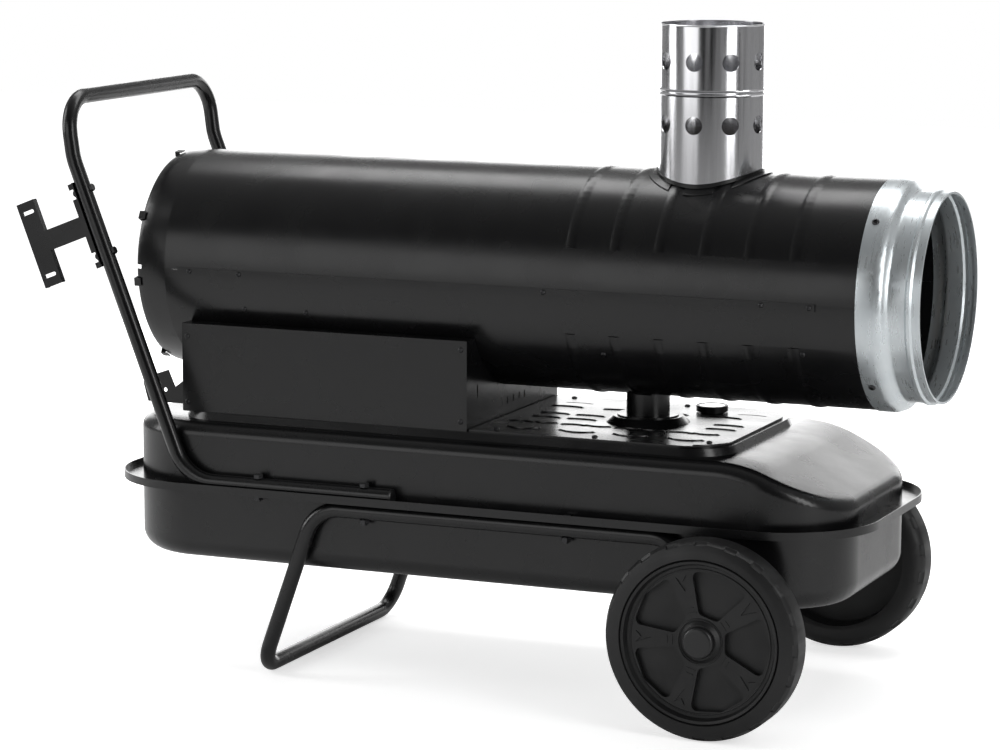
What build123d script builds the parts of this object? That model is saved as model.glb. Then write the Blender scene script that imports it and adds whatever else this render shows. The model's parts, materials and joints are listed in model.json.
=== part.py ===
from build123d import *
import os
from math import cos, pi, radians, sin, sqrt, tan

# Indirect-fired diesel heater on a wheeled fuel tank, in millimetres.
# X runs along the drum towards the warm-air outlet, Z is up, and the origin is on the
# floor under the middle of the heater. The near side, with the cord bracket, is -Y.

# Clearances
FIT = 0.05          # radial, shaft in its bore
SEAT = 0.2          # curved faces of pieces that are screwed together
TOUCH = 0.02        # flat faces that bear on each other
HOLE_GAP = 0.25     # radial, fastener in its hole
MOVE_GAP = 0.6      # moving trim in its cut-out

# Drum
DRUM_R = 160.0
DRUM_AXIS_Z = 573.0
SHEET = 1.2
INTAKE_X = -509.0
COWL_LEN = 50.0
SHELL_LEN = 1061.0
BEAD_COUNT = 6
BEAD_PITCH = 65.0
BEAD_FIRST_X = 170.0
BEAD_WIDTH = 22.0
BEAD_HEIGHT = 1.8
LAP_HEIGHT = 7.0
LAP_T = 2.2
SHELL_X = INTAKE_X + COWL_LEN
SHELL_END_X = SHELL_X + SHELL_LEN
BORE_R = DRUM_R - SHEET

# Outlet collar
COLLAR_OVERLAP = 17.0
COLLAR_BAND = 22.0
COLLAR_LEN = 85.0
COLLAR_SHOULDER = 22.0
COLLAR_BEAD_BACK = 16.0
SPIGOT_R = 146.0
COLLAR_X = SHELL_END_X - COLLAR_OVERLAP
RIM_X = COLLAR_X + COLLAR_LEN

# Flue
FLUE_X = 322.0
FLUE_R = 74.4
FLUE_WALL = 1.0
FLUE_TOP_Z = 940.0
FLUE_HOLE_R = 12.5
FLUE_HOLES = 9
FLUE_ROW_DROP = 51.0
FLUE_ROW_PITCH = 87.0
SPIGOT_WALL = 1.2

# Combustion chamber and heat exchanger
CAN_R = 126.0
CAN_X = 10.0
CAN_LEN = 480.0
CAN_WALL = 1.5
CHAMBER_R = 84.0
CHAMBER_LEN = 400.0
CHAMBER_WALL = 1.5
CHAMBER_X = CAN_X - 50.0
CAN_BRACKET_W = 24.0

# Burner
BLAST_R = 45.0
BLAST_LEN = 120.0
BLAST_X = CHAMBER_X - BLAST_LEN + 8.0
BURNER_WALL = 1.2
SWIRL_SLOTS = 8

# Fan, motor and pump
FAN_R = 138.0
FAN_BLADES = 6
FAN_DEPTH = 34.0
FAN_X = SHELL_X + 30.0
HUB_R = 32.0
SHAFT_R = 6.0
MOTOR_R = 52.0
MOTOR_LEN = 110.0
MOTOR_X = FAN_X + FAN_DEPTH + 14.0
PUMP_R = 24.0
PUMP_LEN = 42.0
PUMP_X = MOTOR_X + MOTOR_LEN + 24.0
RISER_X = PUMP_X + 25.0
GUARD_R = 144.0
GUARD_PITCH = 22.0
GUARD_RINGS = 6

# Fuel tank
TANK_X0 = -518.0
TANK_X1 = 577.0
TANK_HALF_W = 208.0
TANK_CORNER_R = 114.0
TANK_BOTTOM_Z = 158.0
TANK_SEAM_Z = 264.4
TANK_TOP_Z = 358.0
TANK_T = 1.5
TANK_FOOT_R = 30.0
TANK_SHOULDER_R = 20.0
RAMP_START_X = 440.0
RAMP_END_Z = 298.0
FLANGE_W = 28.0
LIP_H = 8.6
PAD_X0 = -436.0
PAD_X1 = 402.0
PAD_INSET = 36.0
PAD_HALF_W = TANK_HALF_W - PAD_INSET
PAD_H = 10.0
PAD_R = 60.0
PAD_Z = TANK_TOP_Z + PAD_H
FLANGE_TOP_Z = TANK_SEAM_Z + TANK_T
FLANGE_LOW_Z = TANK_SEAM_Z - TANK_T

# Control box under the drum
BOX_X0 = -426.0
BOX_X1 = 23.5
BOX_INSET = 2.0
BOX_HALF_W = PAD_HALF_W - BOX_INSET
BOX_TOP_Z = 497.0
BOX_T = 1.2
BOX_RETURN = 14.0
SADDLE_GAP = 0.3
BASE_Z = PAD_Z + BOX_T
SWITCH_X = -40.0
SWITCH_W = 24.0
SWITCH_H = 32.0
KNOB_X = -130.0
KNOB_R = 19.0
RESET_X = -215.0
LAMP_X = -255.0
CONTROL_Z = 440.0

# Slotted heat shield
SHIELD_X1 = 396.0
SHIELD_INSET = 4.0
SHIELD_HALF_W = BOX_HALF_W - SHIELD_INSET
SHIELD_R = 62.0
SHIELD_T = 1.2
SHIELD_LIFT = 2.0
SLOT_COLUMNS = 4
SLOT_FIRST_X = 88.0
SLOT_PITCH = 81.0
SHIELD_Z = PAD_Z + SHIELD_LIFT
SHIELD_TOP_Z = SHIELD_Z + SHIELD_T

# Drum support, fuel cap and gauge
SUPPORT_X = 232.0
SUPPORT_R = 31.0
SUPPORT_WALL = 2.0
SUPPORT_FOOT_R = 44.0
BOSS_H = 10.0
BOSS_R = 50.0
CAP_X = 189.0
CAP_INSET = 48.0
CAP_Y = SHIELD_HALF_W - CAP_INSET
CAP_R = 25.0
CAP_H = 17.0
NECK_R = 20.0
NECK_RISE = 14.0
STRAINER_DEPTH = 70.0
GAUGE_X = 288.0
GAUGE_INSET = 51.0
GAUGE_Y = SHIELD_HALF_W - GAUGE_INSET
GAUGE_R = 23.0
GAUGE_NECK_R = 17.0
GAUGE_RISE = 12.0
FLOAT_R = 15.0
FLOAT_H = 22.0
FLOAT_TRAVEL = 70.0

# Tubes of the handle and the stand
TUBE_R = 11.0
TUBE_WALL = 1.5
TUBE_OUTSET = 12.0
TUBE_Y = TANK_HALF_W + TUBE_OUTSET
HANDLE_END_X = -71.0
HANDLE_HEEL_X = -394.5
HANDLE_KNEE_X = -574.0
HANDLE_KNEE_Z = 735.0
HANDLE_TOP_X = -585.3
HANDLE_TOP_Z = 820.0
HANDLE_TAPER = 2.0
HANDLE_HALF_W = TUBE_Y - HANDLE_TAPER
STAND_FOOT_X = -274.7
STAND_HEEL_X = -189.0
STAND_FRONT_X = 345.0
HANDLE_Z = FLANGE_TOP_Z + TUBE_R + TOUCH
RAIL_Z = FLANGE_LOW_Z - TUBE_R - TOUCH
BOLT_R = 4.0
HANDLE_BOLT_X = -279.0
SHARED_BOLT_X = -112.0
STAND_BOLT_X = 195.0

# Wheels
WHEEL_X = 427.7
WHEEL_R = 136.5
WHEEL_W = 57.0
WHEEL_OUTSET = 108.0
WHEEL_FACE_Y = TUBE_Y + WHEEL_OUTSET
WHEEL_LUGS = 20
WHEEL_SPOKES = 5
RIM_R = 112.0
DISH_R = 104.0
DISH_DEPTH = 9.0
POCKET_DEPTH = 9.0
POCKET_HALF = 25.0
WEB_BACK = DISH_DEPTH + POCKET_DEPTH + 5.0
HUB_CAP_R = 22.0
WHEEL_HUB_R = 27.0
AXLE_R = 8.0
LUG_R = 15.0
LUG_LEN = 30.0

# Cord bracket on the near handle leg
CORD_LEN = 128.0
CORD_STRIP_W = 20.0
CORD_ARM_H = 30.0
CORD_ARM_LEN = 64.0
CORD_OUTER_W = 30.0
CORD_T = 2.0
CORD_Z = 644.0

DRUM = Pos(0, 0, DRUM_AXIS_Z)
ALONG_X = Rot(0, 90, 0)
ALONG_Y = Rot(-90, 0, 0)


def rod_x(radius, length, x, y=0.0, z=0.0):
    """A round bar along X that starts at x."""
    return Pos(x + length / 2, y, z) * ALONG_X * Cylinder(radius, length)


def tube_x(outer, inner, length, x):
    """A round sleeve along X about the drum's own axis, before it is lifted."""
    return rod_x(outer, length, x) - rod_x(inner, length + 2, x - 1)


def rod_y(radius, length, x, y, z):
    """A round bar along Y that starts at y."""
    return Pos(x, y + length / 2, z) * ALONG_Y * Cylinder(radius, length)


def rod_z(radius, length, x, y, z):
    """A round bar along Z that starts at z."""
    return Pos(x, y, z + length / 2) * Cylinder(radius, length)


def slab(x0, x1, y0, y1, z0, z1):
    """A square-cornered block between two corners."""
    return Pos((x0 + x1) / 2, (y0 + y1) / 2, (z0 + z1) / 2) * Box(x1 - x0, y1 - y0, z1 - z0)


def rounded_plan(x0, x1, half_w, corner, z0, height):
    """An upright block with round corners in plan."""
    sketch = RectangleRounded(x1 - x0, 2 * half_w, corner)
    return extrude(Pos((x0 + x1) / 2, 0, z0) * sketch, height)


def both_sides(piece):
    """A piece and its mirror image across the drum's upright middle plane."""
    return [piece, mirror(piece, Plane.XZ)]


def turned(piece, count, start=0.0, axis=Axis.X):
    """Copies of a piece spaced evenly about an axis."""
    return [piece.rotate(axis, start + 360.0 * i / count) for i in range(count)]


def hex_bolt(shank, reach):
    """A hexagon-head bolt pointing down with a nut at its end."""
    across = shank * 1.85
    head = extrude(RegularPolygon(across, 6), shank * 1.3)
    nut = Pos(0, 0, -reach) * extrude(RegularPolygon(across, 6), -shank * 1.5)
    tail = reach + shank * 2.1
    return head + nut + Pos(0, 0, -tail / 2) * Cylinder(shank, tail)


def bend_along(profile, points, radii):
    """A profile carried along straight runs joined by round bends."""
    pieces = []
    for edge in FilletPolyline(*points, radius=radii).edges():
        section = Plane(origin=edge @ 0, z_dir=edge % 0) * profile
        if edge.geom_type == GeomType.LINE:
            pieces.append(extrude(section, edge.length))
            continue
        middle, pole = edge.arc_center, edge.normal()
        if pole.cross((edge @ 0) - middle).dot(edge % 0) < 0:
            pole = -pole
        turn = edge.length / edge.radius * 180 / pi
        pieces.append(revolve(section, Axis(middle, pole), revolution_arc=turn))
    return Part() + pieces


def bent_tube(points, radii):
    return bend_along(Circle(TUBE_R) - Circle(TUBE_R - TUBE_WALL), points, radii)


def bent_rod(points, radii, radius):
    return bend_along(Circle(radius), points, radii)


# Drum shells


def bead_ring(x, first_deg, arc_deg):
    """One pressed stiffening bead round part of the drum."""
    half = BEAD_WIDTH / 2
    low = DRUM_R - SHEET / 2
    foot_a, foot_b = (x - half, 0, low), (x + half, 0, low)
    crown = ThreePointArc(foot_a, (x, 0, DRUM_R + BEAD_HEIGHT), foot_b)
    face = make_face([crown.edge(), Line(foot_b, foot_a).edge()])
    ring = revolve(face, Axis.X, revolution_arc=arc_deg)
    return ring.rotate(Axis.X, first_deg)


def bead_positions():
    return [BEAD_FIRST_X + BEAD_PITCH * i for i in range(BEAD_COUNT)]


def half_shell(upper):
    """A half of the drum's sheet with its beads, about the drum axis."""
    ring = tube_x(DRUM_R, BORE_R, SHELL_LEN, SHELL_X)
    reach = DRUM_R + 20
    low, high = (SEAT / 2, reach) if upper else (-reach, -SEAT / 2)
    shell = ring & slab(SHELL_X - 1, SHELL_END_X + 1, -reach, reach, low, high)
    side = 1 if upper else -1
    for x in bead_positions():
        bead = bead_ring(x, -68, 136)
        shell += bead if side > 0 else bead.rotate(Axis.X, 180)
    return shell


def seam_lap():
    """The edge strip of the lower shell that laps over the upper shell."""
    inner = DRUM_R + SEAT
    lap = tube_x(inner + LAP_T, inner, SHELL_LEN - 95, SHELL_X + 22)
    lap = lap & slab(SHELL_X, SHELL_END_X, 0, DRUM_R + 20, -LAP_HEIGHT, LAP_HEIGHT / 2)
    root = tube_x(inner + LAP_T, DRUM_R - SHEET / 2, SHELL_LEN - 95, SHELL_X + 22)
    root = root & slab(SHELL_X, SHELL_END_X, 0, DRUM_R + 20, -LAP_HEIGHT, -SEAT)
    return both_sides(lap + root)


def bead_room(x):
    """The space that a bead takes up, for pieces that sit over one."""
    return tube_x(DRUM_R + BEAD_HEIGHT + SEAT, DRUM_R, BEAD_WIDTH + 2, x - BEAD_WIDTH / 2 - 1)


def make_upper_shell():
    shell = half_shell(True)
    return DRUM * (shell - rod_z(FLUE_R - 3.0, DRUM_R + 20, FLUE_X, 0, 0))


def make_lower_shell():
    shell = half_shell(False)
    for lap in seam_lap():
        shell += lap
    return DRUM * (shell - rod_z(14.0, 60, RISER_X, 0, -DRUM_R - 30))


def make_intake_cowl():
    """The tapered end ring round the fan, with a slit at the seam."""
    end_x = INTAKE_X
    back_x = SHELL_X - TOUCH
    joggle = BORE_R - SEAT
    outline = Polyline(
        (back_x, DRUM_R),
        (end_x + 10, DRUM_R - 3.0),
        (end_x + 3, DRUM_R - 5.6),
        (end_x, DRUM_R - 10.0),
        (end_x + SHEET, DRUM_R - 10.0),
        (end_x + 4, DRUM_R - 6.8),
        (end_x + 10, DRUM_R - 4.2),
        (back_x - 8, joggle - SHEET),
        (back_x + 9, joggle - SHEET),
        (back_x + 9, joggle),
        (back_x, joggle),
        close=True,
    )
    ring = revolve(make_face(outline.edges()), Axis.X)
    slit = slab(end_x - 1, end_x + 12, -DRUM_R - 5, -DRUM_R + 30, -2.5, 3.5)
    return DRUM * (ring - slit)


def make_intake_guard():
    """Wire rings on radial spokes across the air intake."""
    x = INTAKE_X + 5.0
    radii = [GUARD_R - GUARD_PITCH * i for i in range(GUARD_RINGS)]
    guard = Part()
    for radius in radii:
        guard += tube_x(radius + 1.2, radius - 1.2, 2.4, x - 1.2)
    reach = radii[0] - radii[-1]
    spoke = Pos(x + 1.8, 0, radii[-1] + reach / 2) * Box(2.4, 2.6, reach)
    for arm in turned(spoke, 6, 22.5):
        guard += arm
    return DRUM * guard


def make_guard_clips():
    """Folded clips that hold the guard on the rolled edge of the cowl."""
    low = GUARD_R + 1.4
    face = slab(INTAKE_X - 1.4, INTAKE_X - TOUCH, -6, 6, low, 159.3)
    back = slab(INTAKE_X - 1.4, INTAKE_X + 9.0, -6, 6, 157.9, 159.3)
    hook = slab(INTAKE_X - 1.4, INTAKE_X + 7.0, -6, 6, low, low + 1.5)
    clip = face + back + hook
    return [DRUM * c for c in turned(clip, 4, 8.0) + turned(clip, 4, 62.0)]


def make_outlet_collar():
    """The plated duct spigot: a band, a drawn shoulder, a bead and a rolled rim."""
    x_band = COLLAR_X + COLLAR_BAND
    x_neck = x_band + COLLAR_SHOULDER
    x_bead = RIM_X - COLLAR_BEAD_BACK
    band = DRUM_R + SEAT + SHEET
    drop = band - SPIGOT_R
    skin = [
        (COLLAR_X, band),
        (x_band, band),
        (x_band + 0.45 * COLLAR_SHOULDER, band - 0.25 * drop),
        (x_band + 0.8 * COLLAR_SHOULDER, band - 0.85 * drop),
        (x_neck, SPIGOT_R),
        (x_bead - 5, SPIGOT_R),
        (x_bead - 2, SPIGOT_R + 2.6),
        (x_bead + 2, SPIGOT_R + 2.6),
        (x_bead + 5, SPIGOT_R),
        (RIM_X, SPIGOT_R),
    ]
    lining = [(x, r - SHEET) for x, r in skin[::-1]]
    hem = [(RIM_X, SPIGOT_R - 3.2), (RIM_X - 4, SPIGOT_R - 3.2), (RIM_X - 4, SPIGOT_R - SHEET)]
    outline = Polyline(*skin, *hem, *lining[1:], close=True)
    return DRUM * revolve(make_face(outline.edges()), Axis.X)


# Exchanger, chamber and flue


def can_bracket_xs():
    return (CAN_X + 60.0, CAN_X + CAN_LEN - 60.0)


def make_heat_exchanger():
    """The closed can round the chamber, with the fume outlet that rises to the flue."""
    can = rod_x(CAN_R, CAN_LEN, CAN_X)
    inside = rod_x(CAN_R - CAN_WALL, CAN_LEN - 2 * CAN_WALL, CAN_X + CAN_WALL)
    front = can.edges().filter_by(GeomType.CIRCLE).sort_by(Axis.X)[-1]
    can = chamfer(front, 10.0)
    stub_r = FLUE_R - 3.5
    stub_top = DRUM_R + 45.0
    stub = rod_z(stub_r, stub_top, FLUE_X, 0, 0)
    bore = rod_z(stub_r - SPIGOT_WALL, stub_top + 1, FLUE_X, 0, 0)
    front_room = chamfer(inside.edges().filter_by(GeomType.CIRCLE).sort_by(Axis.X)[-1], 9.4)
    return DRUM * ((can + stub) - front_room - bore - rod_x(CHAMBER_R + SEAT, 20, CAN_X - 10))


def make_combustion_chamber():
    """The fire tube, closed at the front with a port into the can behind it."""
    tube = rod_x(CHAMBER_R, CHAMBER_LEN, CHAMBER_X)
    end = tube.edges().filter_by(GeomType.CIRCLE).sort_by(Axis.X)[-1]
    tube = chamfer(end, 18.0)
    bore = rod_x(CHAMBER_R - CHAMBER_WALL, CHAMBER_LEN - 2 * CHAMBER_WALL, CHAMBER_X + CHAMBER_WALL)
    end = bore.edges().filter_by(GeomType.CIRCLE).sort_by(Axis.X)[-1]
    bore = chamfer(end, 17.2)
    shell = tube - bore
    mouth = rod_x(BLAST_R + SEAT, 20, CHAMBER_X - 10)
    port = rod_z(32.0, CHAMBER_R + 10, CAN_X + CAN_LEN - 175, 0, -CHAMBER_R - 10)
    ring_x = CAN_X - TOUCH - 2.0
    ring = tube_x(CHAMBER_R + 12, CHAMBER_R - 0.5, 2.0, ring_x)
    return DRUM * (shell - mouth - port + ring)


def make_can_brackets():
    """Z-folded feet that carry the can inside the lower shell."""
    feet = []
    reach = BORE_R - CAN_R - 2 * SEAT
    w = CAN_BRACKET_W
    for x in can_bracket_xs():
        for angle in (-35.0, 215.0):
            web = Box(w, 1.6, reach)
            top = Pos(0, 5.2, reach / 2 - 0.8) * Box(w, 12, 1.6)
            foot = Pos(0, -5.2, -reach / 2 + 0.8) * Box(w, 12, 1.6)
            place = Pos(x, 0, 0) * Rot(-angle, 0, 0) * Pos(0, -(CAN_R + SEAT + reach / 2), 0)
            piece = place * Rot(90, 0, 0) * (web + top + foot)
            room = tube_x(BORE_R - SEAT / 2, CAN_R + SEAT / 2, w + 2, x - w / 2 - 1)
            feet.append(DRUM * (piece & room))
    return feet


def make_flue_tube():
    """The stainless stack with two rows of draught holes and a swaged bead."""
    length = FLUE_TOP_Z - DRUM_AXIS_Z
    tube = rod_z(FLUE_R, length, FLUE_X, 0, 0) - rod_z(FLUE_R - FLUE_WALL, length + 2, FLUE_X, 0, -1)
    tube = tube - rod_x(DRUM_R + SEAT, 4 * FLUE_R, FLUE_X - 2 * FLUE_R)
    for x in bead_positions():
        tube = tube - bead_room(x)
    for drop in (91.0, 97.0):
        ridge = Polyline((FLUE_R - 0.5, -2.6), (FLUE_R + 1.6, 0), (FLUE_R - 0.5, 2.6), close=True)
        ring = revolve(Plane.XZ * make_face(ridge.edges()), Axis.Z)
        tube = tube + Pos(FLUE_X, 0, length - drop) * ring
    for row in range(2):
        z = length - FLUE_ROW_DROP - FLUE_ROW_PITCH * row
        cutter = rod_x(FLUE_HOLE_R, FLUE_R + 5, 0)
        for hole in turned(cutter, FLUE_HOLES, -50.0, Axis.Z):
            tube = tube - Pos(FLUE_X, 0, z) * hole
    return DRUM * tube


def make_flue_saddle():
    """The flared ring that closes the joint between flue and drum."""
    outer = rod_z(FLUE_R + 13, DRUM_R + 30, FLUE_X, 0, 0)
    bore = rod_z(FLUE_R + SEAT, DRUM_R + 31, FLUE_X, 0, 0)
    skin = tube_x(DRUM_R + SEAT + 1.5, DRUM_R + SEAT, 3 * FLUE_R, FLUE_X - 1.5 * FLUE_R)
    collar = rod_z(FLUE_R + SEAT + 1.5, DRUM_R + 8, FLUE_X, 0, 0) - bore
    collar = collar & tube_x(DRUM_R + 6.0, DRUM_R + SEAT, 4 * FLUE_R, FLUE_X - 2 * FLUE_R)
    ring = (outer - bore) & skin
    saddle = ring + collar
    for x in bead_positions():
        saddle = saddle - bead_room(x)
    return [DRUM * solid for solid in saddle.solids()]


# Burner


def make_blast_tube():
    """The burner's air tube with its back plate."""
    tube = tube_x(BLAST_R, BLAST_R - BURNER_WALL, BLAST_LEN, BLAST_X)
    plate = rod_x(BLAST_R, 2.5, BLAST_X)
    plate = plate - rod_x(6.0 + HOLE_GAP, 10, BLAST_X - 4)
    plate = plate - rod_x(5.0 + HOLE_GAP, 10, BLAST_X - 4, 24)
    inlets = [rod_x(8.0, 10, BLAST_X - 4, 26)]
    for hole in turned(inlets[0], 5, 60.0)[:4]:
        plate = plate - hole
    return DRUM * (tube + plate)


def make_swirler():
    """The slotted disc that spins the combustion air round the nozzle."""
    x = BLAST_X + BLAST_LEN - 34
    disc = rod_x(BLAST_R - BURNER_WALL - SEAT, 2.0, x) - rod_x(15.0, 6, x - 2)
    slot = slab(x - 2, x + 4, -2.2, 2.2, 19, 37)
    for cut in turned(slot.rotate(Axis.X, 0), SWIRL_SLOTS, 12.0):
        disc = disc - cut
    rim = tube_x(BLAST_R - BURNER_WALL - SEAT, BLAST_R - BURNER_WALL - SEAT - 1.2, 10, x)
    return DRUM * (disc + rim)


def nozzle_seat_x():
    return BLAST_X + BLAST_LEN - 52


def make_nozzle():
    x = nozzle_seat_x()
    hexagon = Pos(x, 0, 0) * ALONG_X * extrude(RegularPolygon(9.0, 6), 9.0)
    cone = Pos(x + 9, 0, 0) * ALONG_X * Pos(0, 0, 4) * Cone(6.5, 2.6, 8.0)
    return DRUM * (hexagon + cone)


def make_pressure_line():
    """The nozzle holder and the pipe that feeds it from the pump."""
    start = PUMP_X + PUMP_LEN + TOUCH
    holder_x = BLAST_X - 14
    holder = rod_x(6.0, nozzle_seat_x() - TOUCH - holder_x, holder_x)
    pipe = bent_rod(
        [(start, 0, -12), (start + 12, 0, -12), (holder_x - 8, 0, 0), (holder_x + 1, 0, 0)],
        [5.0, 4.0],
        3.0,
    )
    return DRUM * (holder + pipe)


def make_electrodes():
    """Two ignition pins in ceramic sleeves, carried by the holder behind the nozzle."""
    rods = []
    for side in (-1, 1):
        x = nozzle_seat_x() - 26
        ceramic = rod_x(4.0, 25, x, side * (6.0 + 4.0 + SEAT))
        wire = rod_x(1.2, 28, x + 24, side * (6.0 + 4.0 + SEAT))
        rods.append(DRUM * (ceramic + wire))
    return rods


def make_flame_sensor():
    """The light cell that looks down the burner tube."""
    body = rod_x(5.0, 26, BLAST_X - 16, 24) + rod_x(9.0, 10, BLAST_X - 10 - TOUCH, 24)
    return DRUM * body


# Fan, motor and pump


def fan_blade():
    """One twisted, cambered blade from the hub out to the tip."""
    sections = []
    for radius, chord, pitch in ((HUB_R - 2, 40.0, 50.0), (86.0, 62.0, 62.0), (FAN_R, 70.0, 70.0)):
        start, end = (-chord / 2, 0), (chord / 2, 0)
        camber = chord * 0.09
        back = ThreePointArc(start, (0, camber + 0.9), end)
        front = ThreePointArc(end, (0, camber - 0.9), start)
        face = make_face([back.edge(), front.edge()])
        sections.append(Pos(0, 0, radius) * Rot(0, 0, pitch) * face)
    return loft(sections)


def make_fan():
    middle = FAN_X + FAN_DEPTH / 2
    hub = rod_x(HUB_R, FAN_DEPTH, FAN_X)
    nose = hub.edges().filter_by(GeomType.CIRCLE).sort_by(Axis.X)[0]
    hub = chamfer(nose, 6.0)
    hub = hub - rod_x(HUB_R - 4, FAN_DEPTH - 10, FAN_X + 12) + rod_x(12, FAN_DEPTH - 6, FAN_X + 4)
    fan = hub
    for blade in turned(fan_blade(), FAN_BLADES):
        fan += Pos(middle, 0, 0) * blade
    trim = tube_x(FAN_R + 60, FAN_R, FAN_DEPTH * 3, FAN_X - FAN_DEPTH)
    fan = fan - trim - rod_x(SHAFT_R + FIT, FAN_DEPTH + 40, FAN_X + 8)
    return DRUM * fan


def make_motor_shaft():
    start = FAN_X + 9
    return DRUM * rod_x(SHAFT_R, PUMP_X - 14 - TOUCH - start, start)


def make_pump_coupling():
    x = PUMP_X - 22
    body = rod_x(12.0, 18, x)
    body = body - rod_x(SHAFT_R + FIT, 9, x - 1)
    stub = rod_x(4.0, 14, x + 17)
    return DRUM * (body + stub)


def make_motor():
    """The fan motor: finned can with two end bells and through bolts."""
    can = rod_x(MOTOR_R, MOTOR_LEN, MOTOR_X)
    can = chamfer(can.edges().filter_by(GeomType.CIRCLE), 7.0)
    for x in (MOTOR_X + 24, MOTOR_X + MOTOR_LEN - 27):
        can = can - tube_x(MOTOR_R + 2, MOTOR_R - 1.5, 3.0, x)
    bosses = rod_x(18.0, MOTOR_LEN + 3, MOTOR_X - 2)
    can = can + bosses - rod_x(SHAFT_R + FIT, MOTOR_LEN + 40, MOTOR_X - 20)
    return DRUM * can


def make_motor_bracket():
    """A clamp band on three strips that reach out to the drum."""
    x = MOTOR_X + MOTOR_LEN / 2 - 10
    width = 20.0
    band = tube_x(MOTOR_R + SEAT + 2, MOTOR_R + SEAT, width, x)
    reach = BORE_R - SEAT - (MOTOR_R + SEAT + 1)
    arm = Pos(x + width / 2, 0, MOTOR_R + SEAT + 1 + reach / 2) * Box(width, 2.5, reach)
    foot = Pos(x + width / 2, 9.0, BORE_R - SEAT - 1.7) * Box(width, 20, 2)
    arm = (arm + foot) & rod_x(BORE_R - SEAT, width, x)
    for leg in turned(arm, 3, 60.0):
        band += leg
    return DRUM * band


def make_fuel_pump():
    body = rod_x(PUMP_R, PUMP_LEN, PUMP_X)
    block = slab(PUMP_X + 8, PUMP_X + PUMP_LEN, -16, 16, -34, 0)
    nose = rod_x(12.0, 7, PUMP_X - 3)
    body = body + block + nose - rod_x(4.0 + FIT, 16, PUMP_X - 4)
    tie = MOTOR_R - 22
    for angle in (45, 135, 225, 315):
        y, z = tie * cos(radians(angle)), tie * sin(radians(angle))
        start = MOTOR_X + MOTOR_LEN + TOUCH
        body += rod_x(3.5, PUMP_X + 8 - start, start, y, z)
    plate = rod_x(tie + 6, 4, PUMP_X + 5)
    body = body + plate - rod_x(4.0 + FIT, 16, PUMP_X - 4)
    return DRUM * body


def make_fuel_filter():
    """A see-through bowl filter on the box base, between tank and pump."""
    x, y = filter_place()
    foot = rod_z(9.0, 8, x, y, BASE_Z + TOUCH)
    bowl = rod_z(17.0, 18, x, y, BASE_Z + 8)
    head = rod_z(20.0, 10, x, y, BASE_Z + 26)
    return foot + bowl + head


def filter_place():
    return BOX_X1 - 60.0, 78.0


def make_suction_line():
    """The pipe from the tank through the filter and up to the pump."""
    x, y = filter_place()
    dip_x = x + 42
    top = BASE_Z + 31
    pump_z = DRUM_AXIS_Z - 34 - TOUCH
    dip = bent_rod(
        [(dip_x, y, TANK_BOTTOM_Z + 18), (dip_x, y, top), (x + 20 + TOUCH, y, top)], [10.0], 3.0
    )
    grommet = rod_z(8.0, 5, dip_x, y, BASE_Z + TOUCH)
    riser = bent_rod(
        [(x - 20 - TOUCH, y, top), (RISER_X, y, top), (RISER_X, 0, top), (RISER_X, 0, pump_z)],
        [14.0, 14.0],
        3.0,
    )
    strainer = rod_z(8.0, 22, dip_x, y, TANK_BOTTOM_Z + TANK_T + 4)
    return [dip + grommet + strainer, riser]


def dip_hole():
    x, y = filter_place()
    return rod_z(3.0 + HOLE_GAP, 60, x + 42, y, PAD_Z - 30)


# Fuel tank


def tank_block(inset, z0):
    """The tank's upper form, drawn in by inset on every side but the open bottom."""
    x0, x1 = TANK_X0 + inset, TANK_X1 - inset
    top = TANK_TOP_Z - inset
    side = Polyline(
        (x0 - 5, z0), (x0 - 5, top), (RAMP_START_X, top), (x1 + 5, RAMP_END_Z - inset), (x1 + 5, z0), close=True
    )
    profile = make_face(side.edges())
    bend = profile.vertices().sort_by_distance((RAMP_START_X, top))[0]
    profile = fillet(bend, 190.0)
    form = extrude(Plane.XZ * profile, TANK_HALF_W + 10, both=True)
    plan = rounded_plan(x0, x1, TANK_HALF_W - inset, TANK_CORNER_R - inset, z0, 300)
    body = form & plan
    rim = [e for e in body.edges() if e.bounding_box().max.Z > RAMP_END_Z - inset - 12]
    top_edges = [e for e in rim if e.bounding_box().min.Z > z0 + 10]
    smooth = [e for e in top_edges if not is_cross_line(e)]
    return fillet(smooth, TANK_SHOULDER_R - inset)


def is_cross_line(edge):
    """True for the lines across the top where the flat runs into the ramp."""
    size = edge.bounding_box().size
    return size.X < 1e-3 and size.Z < 1e-3


def tank_pad(inset, height):
    """The raised seat on the tank top, with sloping sides."""
    grow = height * tan(radians(25))
    pad = RectangleRounded(PAD_X1 - PAD_X0 - 2 * inset, 2 * (PAD_HALF_W - inset), PAD_R - inset)
    low = RectangleRounded(
        PAD_X1 - PAD_X0 - 2 * inset + 2 * grow, 2 * (PAD_HALF_W - inset + grow), PAD_R - inset + grow
    )
    middle = (PAD_X0 + PAD_X1) / 2
    z = PAD_Z - inset
    return loft([Pos(middle, 0, z - height) * low, Pos(middle, 0, z) * pad])


def flange_ring(z0, height):
    """The flat rim where the two tank halves meet."""
    w = FLANGE_W
    outer = rounded_plan(
        TANK_X0 - w, TANK_X1 + w, TANK_HALF_W + w, TANK_CORNER_R + w, z0, height
    )
    t = TANK_T
    inner = rounded_plan(
        TANK_X0 + t, TANK_X1 - t, TANK_HALF_W - t, TANK_CORNER_R - t, z0 - 1, height + 2
    )
    return outer - inner


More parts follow.
